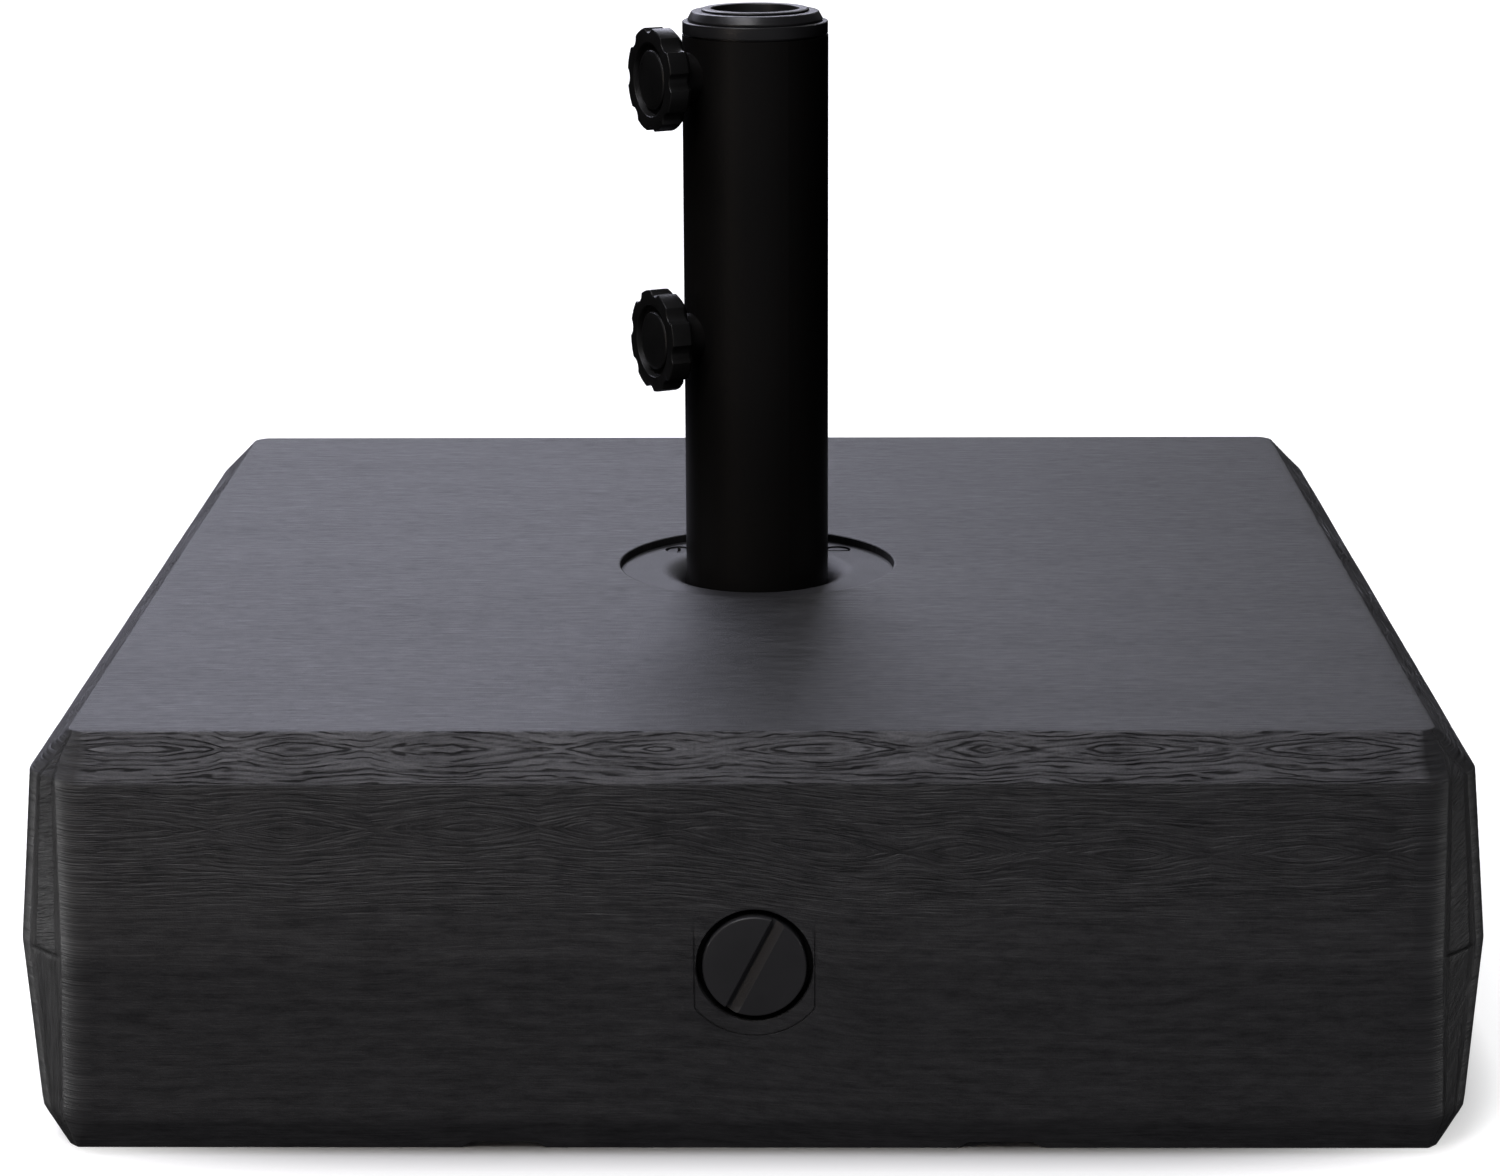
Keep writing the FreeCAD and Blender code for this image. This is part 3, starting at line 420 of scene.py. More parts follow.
# the moulded grain, in mm
CHAMFER_PITCH, WALL_PITCH, FACET_PITCH = 1.75, 2.7, 2.4
CHAMFER_DEPTH, FACET_DEPTH, SEAM_DEPTH = 0.42, 0.2, 0.5
CHAMFER_ROW, WALL_ROW = 146.0, 121.0  # heights of the rows of eyes
CHAMFER_SLOPE = 1.41  # length up the chamfer for each mm of height
EYE_PERIOD, EYE_LENGTH = 58, 29
EYE_SOFT, EYE_REACH = 0.4, 7  # across the grain: the blunt middle of an eye, and how far it shows
# lean of the grain on the four corner facets, in degrees, and the height that it turns about
FACET_LEANS = {"upper": (10, -14, 10, 7), "lower": (28, 70, 20, 82)}
FACET_MIDDLES = {"upper": 106, "lower": 38}


def between_levels(t):
    index = min(int(t), len(LEVELS) - 2)
    return Vector(LEVELS[index]).lerp(Vector(LEVELS[index + 1]), t - index)


def level_at(t):
    """Height, half width and corner cut at a place on the way up, with the level changes rounded off."""
    place = between_levels(t)
    number = round(t)
    if number not in EDGES:
        return place
    before, corner, after = (Vector(LEVELS[number + k]) for k in (-1, 0, 1))
    reach = min(EDGES[number], 0.45 * (before - corner).length, 0.45 * (after - corner).length)
    away = (place - corner).length / reach
    if away >= 1:
        return place
    part = 0.5 + (0.5 if t > number else -0.5) * away
    start = corner + (before - corner).normalized() * reach
    end = corner + (after - corner).normalized() * reach
    return bend(start, corner, end, part)


def channel_lift(x):
    """How far the roof of a channel is above the floor face."""
    off = abs(abs(x) - CHANNEL_MIDDLE)
    return CHANNEL_ROOF * min(1.0, max(0.0, (CHANNEL_HALF - off) / CHANNEL_SLOPE))


def ring_at(t):
    """The tank's outline at a level: (place, mm along the grain, facet number or None, share of the
    grain that belongs to this side or facet, which falls to 0 where the two meet)."""
    height, half, cut = level_at(t)
    reach = min(CORNER * CORNER_SETBACK, 0.4 * cut * math.sqrt(2)) * min(1.0, 0.35 + 0.65 * t)
    end = half - cut - reach
    slant = Vector((1, 1)).normalized()
    first, last = Vector((half - cut, -half)), Vector((half, cut - half))
    places = [(Vector((x, -half)), x, False, 1.0) for x in [-end] + COLUMNS + [end]]
    facet_start, facet_end = first + slant * reach, last - slant * reach
    for k in range(1, CORNER_STEPS):
        part = k / CORNER_STEPS
        curve = bend(Vector((end, -half)), first, facet_start, part)
        places.append((curve, end + part, False, 1 - part))
    for k in range(FACET_STEPS + 1):
        part = k / FACET_STEPS
        share = min(1.0, k / FACET_FADE, (FACET_STEPS - k) / FACET_FADE)
        places.append((facet_start.lerp(facet_end, part), None, True, share))
    for k in range(1, CORNER_STEPS):
        part = k / CORNER_STEPS
        curve = bend(facet_end, last, Vector((half, -end)), part)
        places.append((curve, TURN_LENGTH - end - (1 - part), False, part))
    facet_from, facet_to = end + 1.0, TURN_LENGTH - end - 1.0
    ring = []
    for quarter in range(4):
        start = (quarter if quarter < 3 else -1) * TURN_LENGTH
        turn = Matrix.Rotation(math.radians(90 * quarter), 2)
        facet_column = 0
        for place, along, on_facet, share in places:
            if on_facet:
                along = facet_from + (facet_to - facet_from) * facet_column / FACET_STEPS
                facet_column += 1
            ring.append((turn @ place, start + along, quarter if on_facet else None, share))
    return height, ring


def wood(along, across, level, pitch, seed, wander=1.0, thin=1.8):
    """Wood-look grooves, from 0 on a crest to 1 at the bottom of a groove."""
    line = across / pitch
    line += wander * 1.1 * noise.noise(Vector((along / 46, level / 9, seed)))
    line += wander * 0.4 * noise.noise(Vector((along / 15, level / 4, seed + 7)))
    crest = 0.5 + 0.5 * math.cos(TAU * line)
    broken = smooth(noise.noise(Vector((along / 30, line * 0.8, seed + 3))), -0.35, 0.25)
    return (1 - crest) ** thin * (0.25 + 0.75 * broken)


def eyes(along, off, middle, blunt, pinch):
    """Distance across the grain from a row of long eyes. off is the height above the row, middle the
    place of one eye, blunt the softness of its ends, and pinch how far the grain closes between eyes."""
    number = (along - middle) / EYE_PERIOD
    apart = abs(number - round(number)) * EYE_PERIOD
    squeeze = pinch * math.hypot(apart, blunt) / EYE_LENGTH
    return math.hypot(off, EYE_SOFT) + squeeze / (1 + (off / EYE_REACH) ** 2)


def chamfer_relief(t, height, path, along, wobble):
    """The deep grain of the upper chamfers."""
    drift = 30 * noise.noise(Vector((along / 80, 3, 8)))
    pinch = 4.2 + 5 * noise.noise(Vector((along / 60, 5, 3)))
    across = eyes(along + drift, (height - CHAMFER_ROW) * CHAMFER_SLOPE, 20, 3, pinch)
    share = max(0.0, min(1.0, (TOP_EDGE - t) * 10)) * min(1.0, 0.4 + (t - SHOULDER) * 8)
    groove = share * wood(along, across, path, CHAMFER_PITCH, 1, 0.55, 2.6)
    strength = SIDE_CHAMFER if round(along / TURN_LENGTH) % 2 else CHAMFER
    return wobble - CHAMFER_DEPTH * groove, groove, along, across, strength


def side_relief(height, path, along, wobble):
    """The shallow grain of the walls, which dies out below the middle of the wall."""
    strength = smooth(height, 84, 104)
    row = WALL_ROW - 9.0 * smooth(along, -30, 50) + 3.0 * noise.noise(Vector((along / 120, 4, 9)))
    drift = 22 * noise.noise(Vector((along / 70, 9, 1)))
    across = eyes(along + drift, height - row, 14, 4, 4.5)
    groove = wood(along, across, path, WALL_PITCH, 5, 0.7)
    depth = wobble - (0.02 + 0.05 * strength) * groove
    return depth, 0.2 * groove * strength, along, across, strength


def facet_relief(t, path, along, facet, wobble):
    """The leaning grain of a corner facet, and the broken parting line across it."""
    part = "upper" if t >= SEAM_LEVEL else "lower"
    lean = math.radians(FACET_LEANS[part][facet])
    middle = Vector(((math.floor(along / TURN_LENGTH) + 0.5) * TURN_LENGTH, FACET_MIDDLES[part]))
    turned, across = Matrix.Rotation(-lean, 2) @ (Vector((along, path)) - middle) + middle
    broken = smooth(noise.noise(Vector((along / 9, facet, 31))), -0.5, 0.1)
    seam = SEAM_DEPTH * broken if abs(t - SEAM_LEVEL) < TINY else 0.0
    groove = wood(turned, across, across, FACET_PITCH, 11 + facet, 0.9) * (t < TOP_EDGE)
    # the grooves and the parting line, at twice its depth, go into "groove": painted shade along them
    return wobble - FACET_DEPTH * groove - seam, max(0.5 * groove, 2 * seam), turned, across, WALL


def wall_relief(t, height, path, along, facet):
    """The moulded grain at a point: (depth in mm, how far into a groove, along, across, strength)."""
    wobble = 0.12 * noise.noise(Vector((along / 70, path / 45, 2))) * min(1.0, abs(TOP_EDGE - t) * 3)
    if facet is not None:
        return facet_relief(t, path, along, facet, wobble)
    if t >= SHOULDER:
        return chamfer_relief(t, height, path, along, wobble)
    return side_relief(height, path, along, wobble)


def plug_pad(angle):
    """The pad's outline round the plug: straight sides and top, and an arc below."""
    side = PAD_SIDE / max(TINY, abs(math.cos(angle)))
    return min(side, PAD_TOP / math.sin(angle)) if math.sin(angle) > 0.1 else min(PAD_ARC, side)


def wall_y(height):
    """The front wall at a height."""
    for low, high in zip(LEVELS, LEVELS[1:]):
        if low[0] <= height <= high[0]:
            return -(low[1] + (high[1] - low[1]) * (height - low[0]) / (high[0] - low[0]))


def cad_inside(bm):
    """The recesses, the tunnel, the neck and the hollow of the CAD tank, without its outside."""
    bm.from_mesh(frame["nodes"]["tank_shell"].data)
    bmesh.ops.scale(bm, vec=(1 / MM,) * 3, verts=bm.verts)
    bmesh.ops.remove_doubles(bm, verts=bm.verts, dist=0.003)
    bm.normal_update()
    outside = []
    just_inside_walls, just_behind_pad = 229, -252.2
    for face in bm.faces:
        c, n = face.calc_center_median(), face.normal
        r, plug_r = math.hypot(c.x, c.y), math.hypot(c.x - PLUG_X, c.z - PLUG_Z)
        outward = (n.x * c.x + n.y * c.y) / max(r, TINY)
        in_mouth = c.y < -200 and plug_r < MOUTH + SLACK
        top = c.z > TOP - 0.1 and r > TOP_HOLE + SLACK
        floor = c.z < CHANNEL_ROOF + 0.2 and r > FLOOR_HOLE + SLACK and n.z < 0.3
        wall = max(abs(c.x), abs(c.y)) > just_inside_walls and outward > 0.12 and not in_mouth
        rim = c.y < just_behind_pad and MOUTH + SLACK < plug_r < 1.5 * MOUTH
        if top or floor or wall or rim:
            outside.append(face)
    bmesh.ops.delete(bm, geom=outside, context="FACES")
    bmesh.ops.delete(bm, geom=[v for v in bm.verts if not v.link_faces], context="VERTS")
    bm.normal_update()


def open_loop(bm, test, expected):
    """The edges of the open rim whose vertices pass a test, at least as many as expected."""
    edges = [e for e in bm.edges if e.is_boundary and all(test(v.co) for v in e.verts)]
    if len(edges) < expected:
        raise RuntimeError(f"an open rim has {len(edges)} edges")
    return edges


def walled_patch(bm, edge_loop, layers, data, dress=None):
    """Quads from a closed loop of vertices inwards, through layers that each place the loop again."""
    previous = edge_loop
    for layer in layers:
        ring = []
        for vert in edge_loop:
            made = bm.verts.new(layer(vert.co))
            made[data] = vert[data].copy()
            if dress:
                dress(made)
            ring.append(made)
        for k in range(len(ring)):
            following = (k + 1) % len(ring)
            bm.faces.new((previous[k], previous[following], ring[following], ring[k]))
        previous = ring
    return previous


def square_loop(grid, low, high):
    """The vertices round a square part of a grid of rows and columns, in order."""
    (r0, c0), (r1, c1) = low, high
    loop = [grid[r0][c] for c in range(c0, c1)]
    loop += [grid[r][c1] for r in range(r0, r1)]
    loop += [grid[r1][c] for c in range(c1, c0, -1)]
    loop += [grid[r][c0] for r in range(r1, r0, -1)]
    return loop


def toward_circle(radius, height, part):
    """A layer that is part of the way from the loop to a circle about Z."""
    def layer(co):
        r = math.hypot(co.x, co.y)
        goal = Vector((co.x * radius / r, co.y * radius / r, height))
        return Vector((co.x, co.y, co.z)).lerp(goal, part)
    return layer


def plug_layer(reach, sunk, part=1.0, fade=0.0):
    """A layer that is part of the way from the loop to a line round the plug. reach gives the line's
    radius for an angle and sunk its depth in the wall, of which fade is lost towards the top."""
    def layer(co):
        angle = math.atan2(co.z - PLUG_Z, co.x - PLUG_X)
        r = reach(angle)
        z = PLUG_Z + r * math.sin(angle)
        depth = sunk * (1 - fade * smooth(math.sin(angle), 0.3, 0.68))
        goal = Vector((PLUG_X + r * math.cos(angle), wall_y(z) + depth, z))
        return Vector(co).lerp(goal, part)
    return layer


def cap_face(bm, ring, height, lift, data, hole_half):
    """The flat top or floor: a grid inside the outermost ring of vertices, with a square left open."""
    per_quarter = len(ring) // 4
    side = len(COLUMNS) + 2
    stations = [ring[k].co.x for k in range(side)]
    grid = []
    for r, y in enumerate(stations):
        row = []
        for c, x in enumerate(stations):
            vert = bm.verts.new((x, y, height + lift(x)))
            vert[data] = (x * MM, y * MM, PLAIN)
            row.append(vert)
        grid.append(row)
    middle = side // 2
    low, high = middle - hole_half, middle + hole_half
    for r in range(side - 1):
        for c in range(side - 1):
            if low <= r < high and low <= c < high:
                continue
            bm.faces.new((grid[r][c], grid[r][c + 1], grid[r + 1][c + 1], grid[r + 1][c]))
    borders = [
        grid[0],
        [row[-1] for row in grid],
        grid[-1][::-1],
        [row[0] for row in grid][::-1],
    ]
    for quarter, border in enumerate(borders):
        base = quarter * per_quarter
        for k in range(side - 1):
            bm.faces.new((ring[base + k], ring[base + k + 1], border[k + 1], border[k]))
        for k in range(side - 1, per_quarter):
            bm.faces.new((ring[base + k], ring[(base + k + 1) % len(ring)], border[-1]))
    return square_loop(grid, (low, low), (high, high))


def make_tank():
    """The tank: the CAD's inside, joined to an outside of its own that carries the moulded grain."""
    bm = bmesh.new()
    cad_inside(bm)
    data = bm.verts.layers.float_vector.new("grain")
    relief = bm.verts.layers.float.new("relief")
    # the "groove" layer is the mask of painted shade for the grooves, the recesses and the hollow
    hollow = bm.verts.layers.float.new("groove")
    for vert in bm.verts:
        # the CAD inside gets 0.9 of it: painted shade in the recesses, the tunnel, the neck and the
        # hollow
        vert[data], vert[hollow] = (vert.co.x * MM, vert.co.y * MM, PLAIN), 0.9
    rows, path, previous, paths = [], 0.0, None, []
    for t in ROWS:
        height, ring = ring_at(t)
        spot = level_at(t)
        if previous is not None:
            path += math.hypot(spot[0] - previous[0], spot[1] - previous[1])
        previous = spot
        paths.append((height, path))
        row = []
        for place, along, facet, share in ring:
            values = Vector(wall_relief(t, height, path, along, facet))
            blank = Vector((0, 0, along, wall_relief(t, height, path, along, None)[3], 0))
            depth, groove, u, v, strength = blank.lerp(values, share)
            z, (x, y) = height, place
            lift = channel_lift(x) * max(0.0, 1 - z / 6.0) if abs(y) > abs(x) else 0.0
            if lift > 0:
                z += lift
                y *= 1 + lift * FOOT_RUN / FOOT_RISE / abs(y)
            vert = bm.verts.new((x, y, z))
            if t < TOP_EDGE + 0.01:
                vert[data] = (u * MM, v * MM, strength if t else PLAIN)
            else:
                vert[data] = (x * MM, y * MM, PLAIN)
            vert[relief], vert[hollow] = (depth, groove) if 0.3 < t < TOP_EDGE else (0.0, 0.0)
            row.append(vert)
        rows.append(row)
    count = len(rows[0])
    middle = (len(COLUMNS) + 2) // 2
    low_column, high_column = middle - PLUG_STEPS, middle + PLUG_STEPS
    reach = COLUMNS[high_column - 1]

    def row_near(z):
        return min(range(len(rows)), key=lambda r: abs(rows[r][middle].co.z - z))

    low_row, high_row = row_near(PLUG_Z - reach), row_near(PLUG_Z + reach)
    for r in range(len(rows) - 1):
        for c in range(count):
            if low_row <= r < high_row and low_column <= c < high_column:
                continue
            following = (c + 1) % count
            bm.faces.new((rows[r][c], rows[r][following], rows[r + 1][following], rows[r + 1][c]))

    def flat_grain(vert):
        vert[data] = (vert.co.x * MM, vert.co.y * MM, PLAIN)

    def holed_face(row, height, lift, radius):
        """The top or the floor, down to the softened rim of its round recess."""
        loop = cap_face(bm, row, height, lift, data, PATCH_STEPS)
        steps = ((radius + 1.2, 0.5), (radius + 1.2, 1), (radius + 0.45, 1))
        layers = [toward_circle(r, height, part) for r, part in steps]
        return walled_patch(bm, loop, layers, data, flat_grain)

    top_rim = holed_face(rows[-1], TOP, lambda x: 0.0, TOP_HOLE)
    floor_rim = holed_face(rows[0], 0.0, channel_lift, FLOOR_HOLE)
    loop = square_loop(rows, (low_row, low_column), (high_row, high_column))

    def front_grain(vert):
        x, y, z = vert.co
        number = next(n for n in range(FOOT, TOP_EDGE) if z <= LEVELS[n + 1][0])
        t = number + (z - LEVELS[number][0]) / (LEVELS[number + 1][0] - LEVELS[number][0])
        (z0, path0), (z1, path1) = next(pair for pair in zip(paths, paths[1:]) if pair[1][0] >= z)
        path = path0 + (path1 - path0) * (z - z0) / (z1 - z0)
        depth, groove, u, v, strength = wall_relief(t, z, path, x, None)
        vert[data] = (u * MM, v * MM, strength)
        share = 1.0 if abs(y - wall_y(z)) < 0.05 else 0.3
        vert[relief], vert[hollow] = depth * share, groove * share

    # to the pad's edge in ten steps, then the groove round the pad, its face, and the mouth's edge
    layers = [plug_layer(lambda angle: plug_pad(angle) + 0.6, 0.0, k / 10) for k in range(1, 11)]
    layers += [
        plug_layer(lambda angle: plug_pad(angle) + 0.42, 0.5, fade=1.0),
        plug_layer(lambda angle: plug_pad(angle) + 0.14, 0.55, fade=1.0),
        plug_layer(lambda angle: plug_pad(angle) - 0.1, 0.14, fade=1.0),
        plug_layer(lambda angle: 0.55 * plug_pad(angle) + 0.45 * (MOUTH + 0.3), 0.14, fade=0.6),
        plug_layer(lambda angle: MOUTH + 0.45, 0.16),
        plug_layer(lambda angle: MOUTH + 0.2, 0.5),
    ]
    mouth_rim = walled_patch(bm, loop, layers, data, front_grain)

    def on_rim(level, r, radius):
        """Whether a point a distance off its face and r from the axis is on the rim of a recess."""
        return abs(level) < SLACK and abs(r - radius) < 0.05

    joins = [
        (top_rim, lambda co: on_rim(co.z - TOP, co.xy.length, TOP_HOLE), (0, 0, -0.45)),
        (floor_rim, lambda co: on_rim(co.z, co.xy.length, FLOOR_HOLE), (0, 0, 0.45)),
        (mouth_rim, lambda co: on_rim(
            co.y - PAD_FACE, math.hypot(co.x - PLUG_X, co.z - PLUG_Z), MOUTH), (0, 1.8, 0)),
    ]
    for rim, test, shift in joins:
        cad_edges = open_loop(bm, test, 24)
        for vert in {v for e in cad_edges for v in e.verts}:
            vert.co += Vector(shift)
        own_edges = [bm.edges.get((rim[k], rim[(k + 1) % len(rim)])) for k in range(len(rim))]
        bmesh.ops.bridge_loops(bm, edges=cad_edges + own_edges)
    left_open = [e for e in bm.edges if e.is_boundary]
    if left_open:
        raise RuntimeError(f"{len(left_open)} edges of the tank are open")
    bmesh.ops.recalc_face_normals(bm, faces=bm.faces)
    bm.normal_update()
    for vert in bm.verts:
        if vert[relief]:
            vert.co += vert.normal * vert[relief]
    bm.verts.layers.float.remove(relief)
    piece = to_object("tank", bm, TANK, "base", ["tank_shell"], normals=False)
    sharpen(piece, 50)


make_tank()


# ---------------------------------------------------------------- cap, rings, plug, knobs

def lathe_piece(name, corners, segments, matrix, material, body, nodes, outline=None, crisp=40):
    """A turned piece from (r, z, radius) corners. crisp is the angle above which an edge stays sharp."""
    bm = spin(rounded(corners), segments, outline)
    bm.transform(matrix)
    piece = to_object(name, bm, material, body, nodes)
    sharpen(piece, crisp)
    return piece


GAP = 0.1  # between the faces of stacked pieces
cap_low, cap_high = (corner.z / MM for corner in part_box("tube_cap"))
middle_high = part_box("reducer_ring_middle")[1].z / MM
inner_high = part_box("reducer_ring_inner")[1].z / MM
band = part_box("post_tube")[1].z / MM
lathe_piece("cap", [
    (23.5, cap_low, 0.3), (26.9, cap_low, 0.3), (26.9, band + GAP, 0), (27.4, band + GAP, 0.1),
    (27.4, band + 0.8, 0), (28.35, band + 0.8, 0.15), (28.35, cap_high, 0.45), (23.5, cap_high, 0.3),
], 192, Matrix(), RING, "base", ["tube_cap"])
foot = cap_high + GAP
lathe_piece("ring_middle", [
    (19.9, cap_low, 0.3), (23.2, cap_low, 0.4), (23.2, foot, 0), (26.3, foot, 0.25),
    (26.3, foot + 0.8, 0.3), (24.7, middle_high, 0.6), (19.9, middle_high, 0.4),
], 192, Matrix(), RING, "ring_middle", ["reducer_ring_middle"])
foot = middle_high + GAP
lathe_piece("ring_inner", [
    (17, cap_low, 0.3), (19.6, cap_low, 0.4), (19.6, foot, 0), (21, foot, 0.25), (21, foot + 0.7, 0.3),
    (20.2, inner_high, 0.5), (17, inner_high, 0.6),
], 192, Matrix(), RING, "ring_inner", ["reducer_ring_inner"])

THREAD_PITCH, THREAD_DEPTH, SHANK = 4.0, 1.1, 13.9
HEAD_THICK = 17
SLOT_TILT = 63
plug_low, plug_high = (Vector(corner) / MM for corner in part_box("fill_plug"))
plug_face = plug_low.y
plug_end = plug_face - plug_high.y
head_back = plug_end + HEAD_THICK


def thread(r, z, angle):
    """The plug's screw thread, between the head and the end of the shank."""
    if abs(r - SHANK) > 0.01:
        return r
    turn = (z / THREAD_PITCH + angle / TAU) % 1.0
    tooth = smooth(1 - abs(turn - 0.5) * 2, 0.25, 0.75)
    run_out = smooth(z, plug_end, plug_end + 2.5) * smooth(head_back - z, 0, 1.9)
    return r - THREAD_DEPTH * (1 - tooth * run_out)


def wedge_slot(piece, tilt, matrix):
    """Cuts the coin slot across the plug's face, with one steep and one sloping wall."""
    section = [
        (2.75, 0.4), (2.4, -0.35), (2.2, -2.35), (1.9, -2.5), (1.4, -2.4), (-2.5, 0.0), (-2.9, 0.4),
    ]
    past_rim = 30.0
    bm = bmesh.new()
    ends = [[bm.verts.new((x, d, z)) for d, z in section] for x in (-past_rim, past_rim)]
    count = len(section)
    for k in range(count):
        following = (k + 1) % count
        bm.faces.new((ends[0][k], ends[0][following], ends[1][following], ends[1][k]))
    bm.faces.new(ends[0])
    bm.faces.new(ends[1][::-1])
    bmesh.ops.recalc_face_normals(bm, faces=bm.faces)
    bm.transform(Matrix.Scale(MM, 4) @ matrix @ Matrix.Rotation(math.radians(tilt), 4, "Z"))
    mesh = bpy.data.meshes.new("slot_cutter")
    bm.to_mesh(mesh)
    bm.free()
    cutter = bpy.data.objects.new("slot_cutter", mesh)
    bpy.context.scene.collection.objects.link(cutter)
    cut = piece.modifiers.new("slot", "BOOLEAN")
    cut.object = cutter
    cut.solver = "EXACT"
    bpy.context.view_layer.update()
    result = bpy.data.meshes.new_from_object(piece.evaluated_get(bpy.context.evaluated_depsgraph_get()))
    piece.modifiers.clear()
    piece.data = result
    for polygon in result.polygons:
        polygon.use_smooth = True
    bpy.data.objects.remove(cutter)


shank = [(SHANK, z, 0) for z in spaced([(head_back, 0), (plug_end, 52)])]
plug_matrix = facing((0, -1, 0), (PLUG_X, plug_face, PLUG_Z))
plug = lathe_piece("plug", [
    (0, 0, 0), (9, 0, 0), (18, 0, 0.8), (18, head_back, 0.4), *shank, (10.5, plug_end, 0.4),
    (10.5, head_back, 0.6), (0, head_back, 0),
], 144, plug_matrix, PLUG, "plug", ["fill_plug"], thread)
wedge_slot(plug, SLOT_TILT, plug_matrix)
sharpen(plug, 25)

LOBES, KNOB_RIM = 8, 20.0
SCALLOP, SCALLOP_CENTRE = 4.4, 22.5  # radius of a scallop, and how far out its middle is


def lobed(r, z, angle):
    """Scallops cut into the knob's rim, with their edges softened."""
    part = (angle / TAU * LOBES + 0.5) % 1.0 - 0.5
    phi = part * TAU / LOBES
    rest = SCALLOP ** 2 - (SCALLOP_CENTRE * math.sin(phi)) ** 2
    if r < 15 or rest <= 0:
        return r
    scallop = SCALLOP_CENTRE * math.cos(phi) - math.sqrt(rest)
    deep = max(0.0, min(1.0, 0.5 + 0.5 * (KNOB_RIM - scallop) / 0.35))
    joined = KNOB_RIM * (1 - deep) + scallop * deep - 0.2 * deep * (1 - deep)
    return r * (joined / KNOB_RIM)


for level, spun in (("upper", 2), ("lower", -7)):
    joint = next(j for j in frame["joints"] if j["name"] == f"{level}_knob_turn")
    centre = Vector(joint["pos_m"]) / MM
    lathe_piece(f"knob_{level}", [
        (4.1, 34.9, 0), (7.5, 34.9, 0.5), (12.5, 36.1, 1.2), (18.2, 36.1, 0.5), (20, 37.9, 0.6),
        (20, 45.7, 0.5), (14.2, 45.7, 0.4), (13.6, 43.2, 0.4), (11.7, 43.2, 0), (11.7, 43.1, 0),
        (7.65, 43.1, 0), (7.65, 37.6, 0), (4.1, 37.6, 0),
    ], 384, facing(joint["axis"], centre, spun), KNOB, f"knob_{level}", [f"knob_head_{level}"],
        lobed, 30)
    dome = [(11.1 - 0.9 * k, 45.05 + 0.45 * math.sqrt(k / 12.0), 0) for k in range(1, 12)]
    lathe_piece(f"knob_disc_{level}", [
        (0, 43.25, 0), (11.5, 43.25, 0.2), (11.5, 44.5, 0.3), (11.0, 45.0, 0.3), *dome, (0, 45.5, 0),
    ], 128, facing(joint["axis"], centre), KNOB, f"knob_{level}", [f"knob_cap_{level}"])


# ---------------------------------------------------------------- camera, light, floor

scene = bpy.context.scene
scene.view_settings.view_transform = "Standard"

YAW, PITCH, ROLL = -0.0131, 0.2558, -0.0044
CAMERA_PLACE = (0.01616, -1.45821, 0.52150)
SENSOR_MM, LENS_MM = 36, 89.59
ahead = Vector((math.sin(YAW) * math.cos(PITCH), math.cos(YAW) * math.cos(PITCH), -math.sin(PITCH)))
right = Vector((math.cos(YAW), -math.sin(YAW), 0))
above = right.cross(ahead)
rolled_right = math.cos(ROLL) * right + math.sin(ROLL) * above
rolled_up = -math.sin(ROLL) * right + math.cos(ROLL) * above
camera_data = bpy.data.cameras.new("camera")
camera_data.sensor_fit = "HORIZONTAL"
camera_data.sensor_width = SENSOR_MM
camera_data.lens = LENS_MM
camera_data.dof.use_dof = False
camera = bpy.data.objects.new("camera", camera_data)
turned = Matrix((rolled_right, rolled_up, -ahead)).transposed().to_4x4()
camera.matrix_world = Matrix.Translation(CAMERA_PLACE) @ turned
scene.collection.objects.link(camera)
scene.camera = camera


def aimed(name, light, place, target):
    """Puts a light in its place, turned to the target."""
    lamp = bpy.data.objects.new(name, light)
    lamp.location = place
    lamp.rotation_euler = (Vector(target) - Vector(place)).to_track_quat("-Z", "Y").to_euler()
    scene.collection.objects.link(lamp)


def softbox(name, place, target, width, height, power, tint=NEUTRAL):
    light = bpy.data.lights.new(name, "AREA")
    light.shape = "RECTANGLE"
    light.size, light.size_y = width, height
    light.energy = power
    light.color = tint
    aimed(name, light, place, target)


def kicker(name, place, target, spread, power):
    """A narrow lamp that lights one corner and leaves the tube alone."""
    light = bpy.data.lights.new(name, "SPOT")
    light.spot_size, light.spot_blend, light.shadow_soft_size = math.radians(spread), 1.0, 0.12
    light.energy = power
    aimed(name, light, place, target)


softbox("over_front", (-0.8, -0.9, 2.7), (0, -0.2, 0.1), 1.8, 1.0, 52, (0.93, 0.92, 1.0))
softbox("floor_wash", (0.0, 4.6, 3.2), (0, 4.6, 0), 6.0, 4.0, 60)
softbox("back_left", (-1.0, 2.9, 2.0), (-0.3, 0, 0.15), 2.8, 1.2, 64, (0.81, 0.815, 1.0))
softbox("key", (-0.6, -1.8, 2.0), (0, 0, 0.15), 0.8, 0.8, 22, (1.0, 0.98, 0.96))
softbox("left_strip", (-0.84, -1.06, 0.5), (0, 0, 0.25), 0.10, 0.9, 1.4, (1.0, 0.82, 0.66))
kicker("left_kicker", (-2.6, -0.24, 0.08), (-0.25, -0.245, 0.03), 9, 205)
kicker("right_kicker", (2.6, -0.34, 0.08), (0.25, -0.245, 0.03), 9, 92)


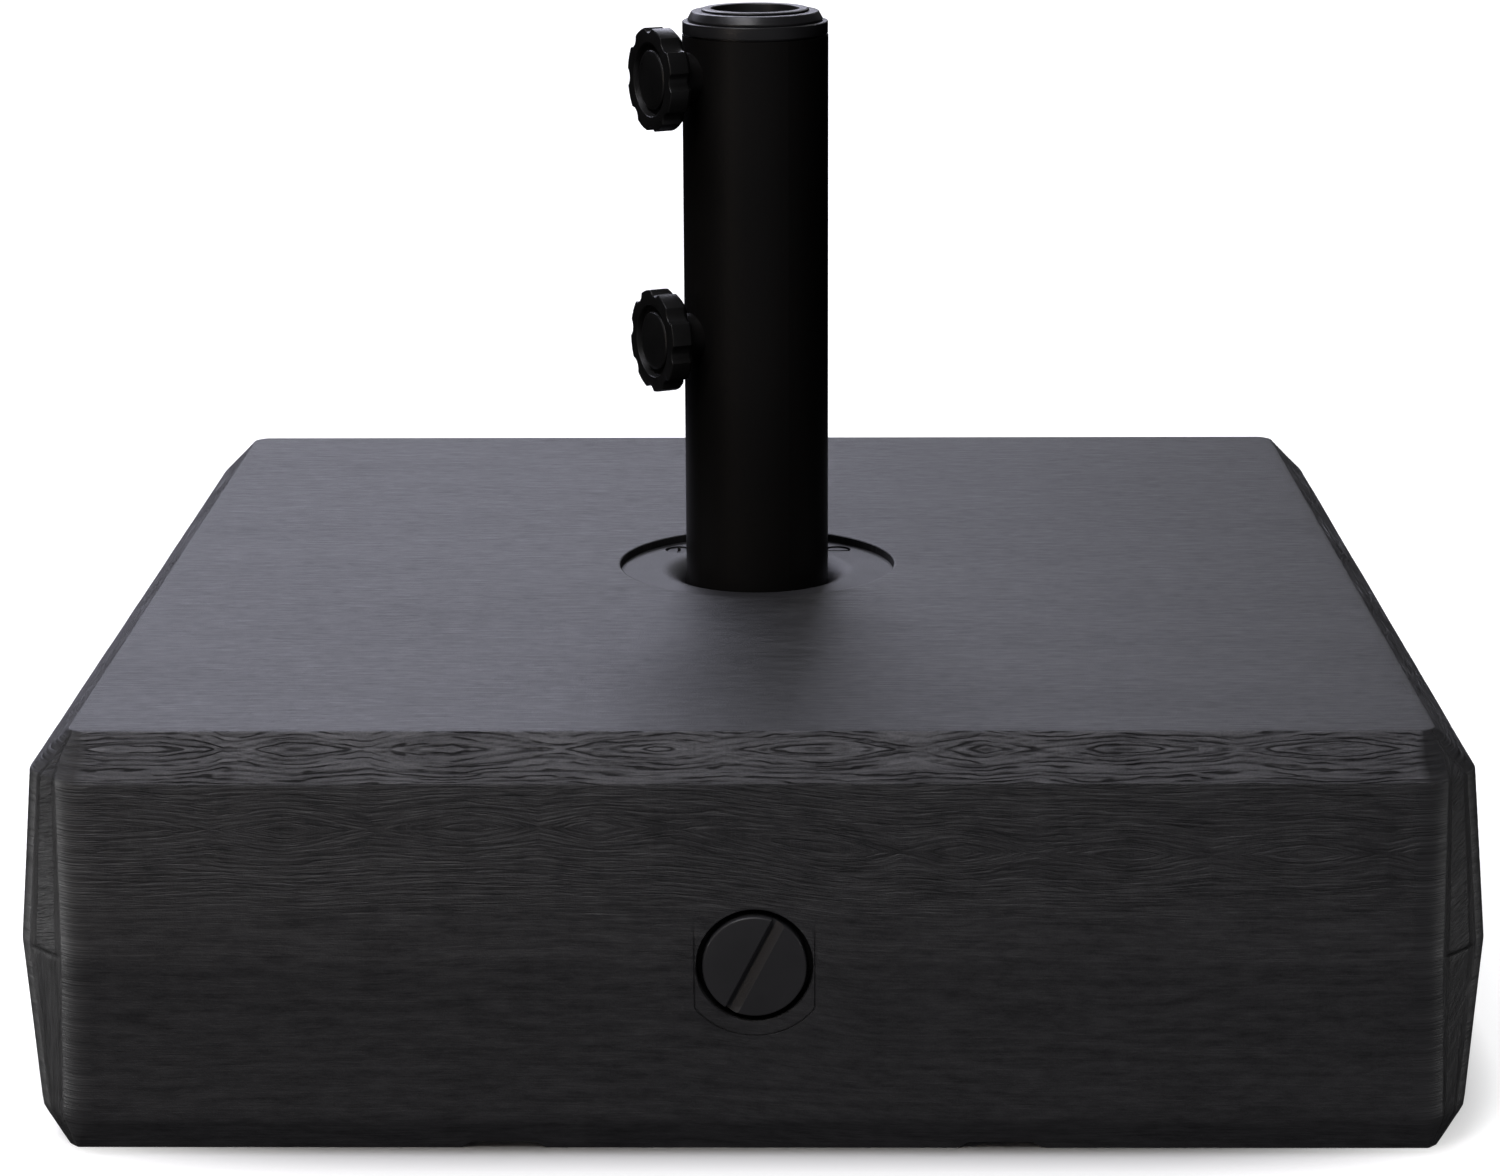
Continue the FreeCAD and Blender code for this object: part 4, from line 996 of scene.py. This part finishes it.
def make_world():
    """A dim sky: a soft patch behind the object and a weaker one in front and below."""
    world = bpy.data.worlds.new("studio")
    world.use_nodes = True
    scene.world = world
    tree = world.node_tree
    background = next(n for n in tree.nodes if n.type == "BACKGROUND")
    coords = tree.nodes.new("ShaderNodeTexCoord")

    def sky_part(direction, low, high, bright):
        """Brightness that grows from low to high with the cosine towards a direction."""
        aim = tree.nodes.new("ShaderNodeVectorMath")
        aim.operation = "DOT_PRODUCT"
        aim.inputs[1].default_value = direction
        tree.links.new(coords.outputs["Generated"], aim.inputs[0])
        ramp = tree.nodes.new("ShaderNodeMapRange")
        ramp.interpolation_type = "SMOOTHSTEP"
        for key, value in (("From Min", low), ("From Max", high), ("To Min", 0), ("To Max", bright)):
            ramp.inputs[key].default_value = value
        tree.links.new(aim.outputs["Value"], ramp.inputs["Value"])
        return ramp.outputs[0]

    def combined(operation, first, second):
        made = tree.nodes.new("ShaderNodeMath")
        made.operation = operation
        tree.links.new(first, made.inputs[0])
        tree.links.new(second, made.inputs[1])
        return made.outputs[0]

    above_floor = sky_part((0, 0, 1), 0.0, 0.12, 1.0)
    behind = combined("MULTIPLY", sky_part((0, 0.85, 0.53), 0.6, 0.97, 0.14), above_floor)
    below = sky_part((0, -0.8, -0.6), 0.2, 1.0, 0.34)
    tree.links.new(combined("ADD", behind, below), background.inputs["Strength"])
    background.inputs["Color"].default_value = (0.95, 0.93, 1.0, 1)


def make_floor():
    """A pale floor that glows up to white, with a painted contact shadow: the glow fades out close round
    the square foot.
    """
    s = Shader("floor")
    x, y, _ = s.node("SeparateXYZ", {0: s.node("TexCoord").outputs["Object"]}).outputs
    squareness, painted_shadow_to, bright_from, brightness = 6.0, 0.242, 0.277, 0.85
    powers = [s.math("POWER", s.math("ABSOLUTE", part), squareness) for part in (x, y)]
    away = s.math("POWER", s.math("ADD", *powers), 1 / squareness)
    # painted contact shadow: no glow at the foot, full glow a little way out
    glow_with_painted_shadow = s.mapped(away, painted_shadow_to, bright_from, 0.0, brightness)
    s.surface(Base_Color=shade(0.5), Roughness=0.95, Emission_Color=shade(1.0), Emission_Strength=glow_with_painted_shadow)
    bm = bmesh.new()
    bmesh.ops.create_grid(bm, x_segments=24, y_segments=24, size=9)
    mesh = bpy.data.meshes.new("floor")
    bm.to_mesh(mesh)
    bm.free()
    mesh.materials.append(s.material)
    floor = bpy.data.objects.new("floor", mesh)
    scene.collection.objects.link(floor)
    floor.visible_diffuse = False
    floor.visible_glossy = False


make_world()
make_floor()
